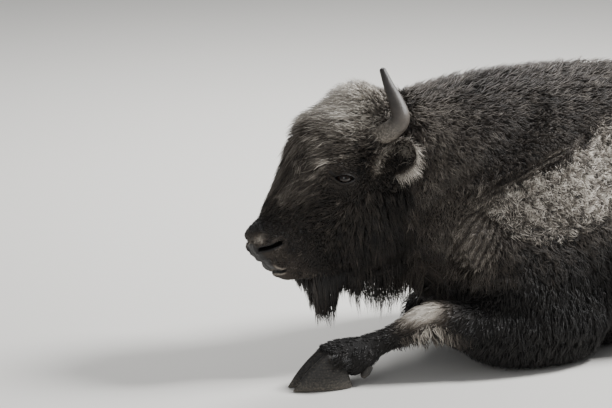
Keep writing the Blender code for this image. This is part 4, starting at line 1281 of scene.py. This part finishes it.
def growEarFringe():
    # long pale hair off the ears' edges and tufts inside them
    chance = np.random.default_rng(31)
    locks = []
    flat = unwrapFaces(faceLabel >= earLeft)
    along = np.arange(4) / 3
    for side, number in ((1, earLeft), (-1, earRight)):
        faces = np.nonzero(faceLabel == number)[0]
        local, lengthWay, facing, acrossWay = earPlaces(faceCentre[faces], side)
        part, across, _ = local.T
        lower = -np.sign(acrossWay @ headAxes[1])      # the edge that hangs lower carries the pale fringe
        rim = np.abs(across) / np.interp(part, ear["rows"][:, 0], ear["rows"][:, 1])
        edge = smoothStep(0.80, 0.97, rim) * (part > 0.22) + smoothStep(0.86, 0.97, part)
        edge *= 0.45 + 0.75 * smoothStep(-0.02, 0.02, across * lower)
        edge *= 0.12 + smoothStep(-0.25, 0.35, patchy(faceCentre[faces], 0.017))
        inner = smoothStep(0.75, 0.30, rim) * near(part, 0.66, 0.20)
        inner *= smoothStep(-0.1, 0.3, faceNormal[faces] @ facing)
        front = smoothStep(0.72, 0.92, rim) * (across * lower < 0)
        front *= smoothStep(0.10, 0.30, part) * (part < 0.92)
        for kind, weight, amount in (("edge", edge, 720), ("inner", inner, 320), ("front", front, 300)):
            amount = int(amount * (1))
            pull = weight * faceArea[faces]
            picked = faces[chance.choice(len(faces), amount, p=pull / pull.sum())]
            share = chance.dirichlet((1, 1, 1), amount)[:, :, None]
            root = np.sum(hidePoints[hideFaces[picked]] * share, axis=1)
            normal = unit(np.sum(hideNormals[hideFaces[picked]] * share, axis=1))
            place = earPlaces(root, side)[0]
            outward = np.sign(place[:, 1])[:, None] * acrossWay
            low = smoothStep(-0.01, 0.02, place[:, 1] * lower)
            if kind == "edge":
                way = outward * 0.62 + lengthWay * 0.60 + normal * 0.15 + np.array((0, 0, -0.35))
                length = np.minimum((0.008 + 0.012 * low) * np.exp(chance.normal(0, 0.60, amount)), 0.038)
                tone = 0.80 + 0.12 * low + chance.normal(0, 0.16, amount)
            elif kind == "front":
                way = lengthWay * 0.9 + outward * 0.25 + normal * 0.15
                length = 0.011 * np.exp(chance.normal(0, 0.3, amount))
                tone = 0.50 + chance.normal(0, 0.10, amount)
            else:
                way = facing * 0.65 + lengthWay * 0.55 - outward * 0.2
                length = 0.021 * np.exp(chance.normal(0, 0.3, amount))
                tone = 0.74 + chance.normal(0, 0.10, amount)
            way = unit(way + chance.normal(0, 0.38, (amount, 3)))
            path = root[:, None] + way[:, None] * (length[:, None] * along)[:, :, None]
            path[:, :, 2] -= along ** 2 * length[:, None] * 0.30
            width = 0.0012 * chance.uniform(0.7, 1.2, amount)[:, None] * np.array((1.0, 0.85, 0.55))
            tone = np.clip(tone + chance.normal(0, 0.08, amount), 0, 1)
            locks.append((path, width, normal, tone, np.sum(flat[picked] * share, axis=1)))
    mesh = tuftMesh("coatEarFringe", *[np.concatenate(values) for values in zip(*locks)])
    newPiece("coatEarFringe", mesh, guardHair)
    print(f"coatEarFringe: {len(mesh.polygons)} triangles")


growEarFringe()

horn = {"radius": 0.030, "sides": 28, "rings": 54, "ridges": 9, "ridgeHeight": 0.0009, "inside": 0.0006,
        "farShare": 0.93,
        # centre line in the head's axes, with the share of the radius
        "line": ((0.037, 0.038, 0.040, 0.96), (0.028, 0.028, 0.078, 0.95), (0.019, 0.019, 0.113, 0.94),
                 (-0.001, 0.007, 0.150, 0.91), (-0.034, 0.006, 0.168, 0.85), (-0.067, 0.034, 0.159, 0.70),
                 (-0.099, 0.070, 0.142, 0.50), (-0.128, 0.101, 0.130, 0.32)),
        # the blunt tip: how far ahead of the last ring and how wide, in its radius
        "tip": ((0.45, 0.88), (0.75, 0.62), (0.92, 0.34))}


def smoothLine(line, count):
    # a soft curve through the rows, evenly spaced
    rows = np.array(line, float)
    padded = np.vstack([2 * rows[0] - rows[1], rows, 2 * rows[-1] - rows[-2]])
    fine = []
    for number in range(len(rows) - 1):
        a, b, c, d = padded[number:number + 4]
        for t in np.linspace(0, 1, 24, endpoint=False):
            fine.append(0.5 * (2 * b + (c - a) * t + (2 * a - 5 * b + 4 * c - d) * t ** 2
                               + (3 * b - a - 3 * c + d) * t ** 3))
    fine = np.array(fine + [rows[-1]])
    run = np.concatenate([[0], np.cumsum(np.linalg.norm(np.diff(fine[:, :3], axis=0), axis=1))])
    wanted = np.linspace(0, run[-1], count)
    return np.stack([np.interp(wanted, run, fine[:, column]) for column in range(rows.shape[1])], 1)


def buildHorn(name, node, side):
    share = 1.0 if side > 0 else horn["farShare"]
    line = [(a * (share if a < 0 else 1), u * share, l * share, r) for a, u, l, r in horn["line"]]
    rows = smoothLine(line, horn["rings"])
    centres = [onHead(a, u, l * side) for a, u, l, _ in rows]
    last = len(centres) - 1
    hoops = []
    for number, centre in enumerate(centres):
        ahead = centres[min(number + 1, last)] - centres[max(number - 1, 0)]
        part = number / last
        # growth rings stand out near the root and fade towards the tip
        fade = max(0.0, 1 - part * 1.9)
        ridge = horn["ridgeHeight"] * fade * math.sin(part * horn["ridges"] * 2 * math.pi / 0.55)
        hoops.append((centre, ahead, horn["radius"] * share * rows[number, 3] - horn["inside"] + ridge))
    ahead = (centres[-1] - centres[-2]).normalized()
    tipRadius = horn["radius"] * share * rows[-1, 3]
    hoops += [(centres[-1] + ahead * tipRadius * lift, ahead, tipRadius * size) for lift, size in horn["tip"]]
    shape = bmesh.new()
    rings = []
    for centre, ahead, radius in hoops:
        turn = ahead.to_track_quat("Z", "Y").to_matrix().to_4x4()
        rings.append(bmesh.ops.create_circle(shape, segments=horn["sides"], radius=radius,
                                             matrix=Matrix.Translation(centre) @ turn)["verts"])
    bridgeRings(shape, rings)
    splitLarge(shape)
    bmesh.ops.recalc_face_normals(shape, faces=shape.faces)
    mesh = finishMesh(shape)
    gaps = np.linalg.norm(readPoints(mesh)[:, None] - np.array(centres)[None], axis=2)
    setAttribute(mesh, "reach", gaps.argmin(1) / last)
    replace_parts(newPiece(name, mesh, hornSheath), node)


def hornMaterial():
    # horn sheath, worn smooth: rough and scurfy at the root, a dull polish on the shaft, darker at the tip
    material, tree, shader = newMaterial("worn keratin horn")
    place = addNode(tree, "TexCoord").outputs["Object"]
    reach = addNode(tree, "Attribute", attribute_name="reach").outputs["Fac"]
    scurf = addNode(tree, "TexNoise", {"Vector": place, "Scale": 190.0, "Detail": 5.0, "Roughness": 0.75})
    fibres = addNode(tree, "TexNoise", {"Vector": place, "Scale": 38.0, "Detail": 5.0})
    shade = addNode(tree, "ValToRGB", {"Fac": reach}, stops=[
        (0.0, "#5f584f"), (0.22, "#554e47"), (0.5, "#4f4943"), (0.8, "#3f3b38"), (1.0, "#2a2725")])
    speckle = addNode(tree, "ValToRGB", {"Fac": scurf}, stops=[
        (0.40, "#26221f"), (0.50, "#7d766b"), (0.60, "#c6beb0")])
    rootPart = addNode(tree, "MapRange", {"Value": reach, "From Min": 0.50, "From Max": 0.22,
                                          "To Min": 0.0, "To Max": 0.75})
    colour = addNode(tree, "Mix", {0: rootPart, 6: shade, 7: speckle}, data_type="RGBA")
    streak = addNode(tree, "MapRange", {"Value": fibres, "From Min": 0.3, "From Max": 0.7,
                                        "To Min": 0.62, "To Max": 1.30})
    colour = addNode(tree, "VectorMath", {0: colour, 1: streak}, operation="MULTIPLY")
    rough = addNode(tree, "MapRange", {"Value": rootPart, "To Min": 0.50, "To Max": 0.85})
    bump = addNode(tree, "Bump", {"Height": scurf, "Distance": 0.0022, "Strength": 0.45})
    setInputs(tree, shader, {"Base Color": colour, "Roughness": rough, "IOR": 1.54, "Normal": bump})
    return material


hornSheath = hornMaterial()
buildHorn("hornSheathLeft", "horn_left", 1)
buildHorn("hornSheathRight", "horn_right", -1)
print("horns: two sheaths with growth rings")

eyeball = {"segments": 64, "rings": 40, "slack": 0.0004, "cornea": 0.0012, "iris": 0.0118,
           "pupilWide": 0.0058, "pupilHigh": 0.0034}


def buildEye(name, node, side):
    centre, out, slit, top = eyeFrame(side)
    turn = Matrix((slit, top * side, out)).transposed().to_4x4()
    shape = bmesh.new()
    bmesh.ops.create_uvsphere(shape, u_segments=eyeball["segments"], v_segments=eyeball["rings"],
                              radius=face["eyeRadius"] - eyeball["slack"])
    layer = shape.loops.layers.uv.new("gaze")
    for vertex in shape.verts:
        flat = math.hypot(vertex.co.x, vertex.co.y)
        if vertex.co.z > 0 and flat < eyeball["iris"]:
            vertex.co.z += eyeball["cornea"] * (1 - (flat / eyeball["iris"]) ** 2)
    # laid flat at 0.1 m across, the back of the ball pushed out to the sides
    for patch in shape.faces:
        for corner in patch.loops:
            place = corner.vert.co
            backwards = 0.0 if place.z > 0 else 0.1
            aside = backwards * (1 if place.x > 0 else -1)
            corner[layer].uv = (place.x * 10 + 0.5 + aside, place.y * 10 + 0.5)
    bmesh.ops.transform(shape, matrix=Matrix.Translation(centre) @ turn, verts=shape.verts)
    bmesh.ops.recalc_face_normals(shape, faces=shape.faces)
    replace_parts(newPiece(name, finishMesh(shape), eyeWet), node)


def eyeMaterial():
    # living eye: wet cornea, dark brown iris, a level pupil and a dark ring at its edge
    material, tree, shader = newMaterial("wet eye")
    flat = addNode(tree, "UVMap", uv_map="gaze")
    middle = addNode(tree, "VectorMath", {0: flat, 1: (0.5, 0.5, 0.0)}, operation="SUBTRACT")
    pupilScale = (0.1 / eyeball["pupilWide"], 0.1 / eyeball["pupilHigh"], 1.0)
    pupil = addNode(tree, "VectorMath", {0: middle, 1: pupilScale}, operation="MULTIPLY")
    pupil = addNode(tree, "VectorMath", {0: pupil}, operation="LENGTH")
    wide = addNode(tree, "VectorMath", {0: middle}, operation="LENGTH")
    fibre = addNode(tree, "TexNoise", {"Vector": middle, "Scale": 160.0, "Detail": 3.0})
    rings = addNode(tree, "ValToRGB", {"Fac": wide}, stops=[
        (0.04, "#1c110b"), (0.085, "#2c1a10"), (0.108, "#0c0705"), (0.135, "#120b08"), (0.16, "#3b2c27"),
        (0.19, "#4a332d")])
    mottled = addNode(tree, "Mix", data_type="RGBA", blend_type="MULTIPLY")
    setInputs(tree, mottled, {0: fibre, 6: rings, 7: linear("#1b100a")})
    hole = addNode(tree, "MapRange", {"Value": pupil, "From Min": 0.9, "From Max": 1.15})
    colour = addNode(tree, "Mix", {0: hole, 6: linear("#020202"), 7: mottled}, data_type="RGBA")
    setInputs(tree, shader, {"Base Color": colour, "Roughness": 0.30, "IOR": 1.376,
                             "Specular IOR Level": 0.15, "Coat Weight": 0.8, "Coat Roughness": 0.04})
    return material


eyeWet = eyeMaterial()
buildEye("eyeballLeft", "eye_left", 1)
buildEye("eyeballRight", "eye_right", -1)
print("eyes: two, with cornea and level pupils")

claws = {"bevel": 0.0125, "dewclawShare": 0.4, "angle": 24.0, "flat": 4.0, "rounds": 2, "easing": 3}


def hoofMaterial():
    # hoof horn: dull, banded every few millimetres as it grows down, scuffed and dusty at the ground
    material, tree, shader = newMaterial("dusty hoof horn")
    place = addNode(tree, "TexCoord").outputs["Object"]
    height = addNode(tree, "SeparateXYZ", {0: place}).outputs["Z"]
    bands = addNode(tree, "TexWave", {"Vector": place, "Scale": 42.0, "Distortion": 6.0, "Detail": 3.0},
                    bands_direction="Z").outputs["Fac"]
    grit = addNode(tree, "TexNoise", {"Vector": place, "Scale": 210.0, "Detail": 4.0})
    low = addNode(tree, "MapRange", {"Value": height, "From Min": 0.035, "From Max": 0.0,
                                     "To Min": 0.0, "To Max": 0.30})
    mixed = addNode(tree, "Math", {0: grit, 1: low}, operation="ADD")
    mixed = addNode(tree, "Math", {0: bands, 1: 0.08, 2: mixed}, operation="MULTIPLY_ADD")
    colour = addNode(tree, "ValToRGB", {"Fac": mixed}, stops=[
        (0.38, "#12100f"), (0.60, "#26231f"), (0.92, "#565047")])
    relief = addNode(tree, "Math", {0: bands, 1: 0.25, 2: grit}, operation="MULTIPLY_ADD")
    bump = addNode(tree, "Bump", {"Height": relief, "Distance": 0.0026, "Strength": 0.7})
    setInputs(tree, shader, {"Base Color": colour, "Roughness": 0.62, "IOR": 1.54, "Normal": bump})
    return material


def buildClaw(node):
    # the node's own form with its edges bevelled and eased round
    shape = bmesh.new()
    shape.from_mesh(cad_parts[node].data)
    bmesh.ops.remove_doubles(shape, verts=shape.verts, dist=hide["weld"])
    bmesh.ops.dissolve_limit(shape, angle_limit=math.radians(claws["flat"]), verts=shape.verts,
                             edges=shape.edges)
    sharp = [edge for edge in shape.edges
             if edge.is_manifold and edge.calc_face_angle() > math.radians(claws["angle"])]
    size = claws["dewclawShare"] if "dewclaw" in node else 1.0
    bmesh.ops.bevel(shape, geom=sharp, offset=claws["bevel"] * size, segments=2, profile=0.5,
                    affect="EDGES", clamp_overlap=True, material=-1)
    splitLarge(shape)
    for _ in range(claws["rounds"]):
        bmesh.ops.subdivide_edges(shape, edges=shape.edges, cuts=1, use_grid_fill=True)
        splitLarge(shape)
        for _ in range(claws["easing"]):
            easeShape(shape, 0.5)
    bmesh.ops.triangulate(shape, faces=shape.faces)
    bmesh.ops.recalc_face_normals(shape, faces=shape.faces)
    mesh = finishMesh(shape)
    # easing draws a claw in a little, so it is let out again to the size of its node
    points = readPoints(mesh)
    low, high = (np.array(corner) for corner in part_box(node))
    start, end = points.min(0), points.max(0)
    writePoints(mesh, low + (points - start) / (end - start) * (high - low))
    name = "claw" + node.replace("_", " ").title().replace(" ", "")
    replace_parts(newPiece(name, mesh, hoofHorn), node)


hoofHorn = hoofMaterial()
for node in sorted(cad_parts):
    if node.startswith(("hoof_", "dewclaw_")):
        buildClaw(node)
print("claws: eight hooves and eight dewclaws")
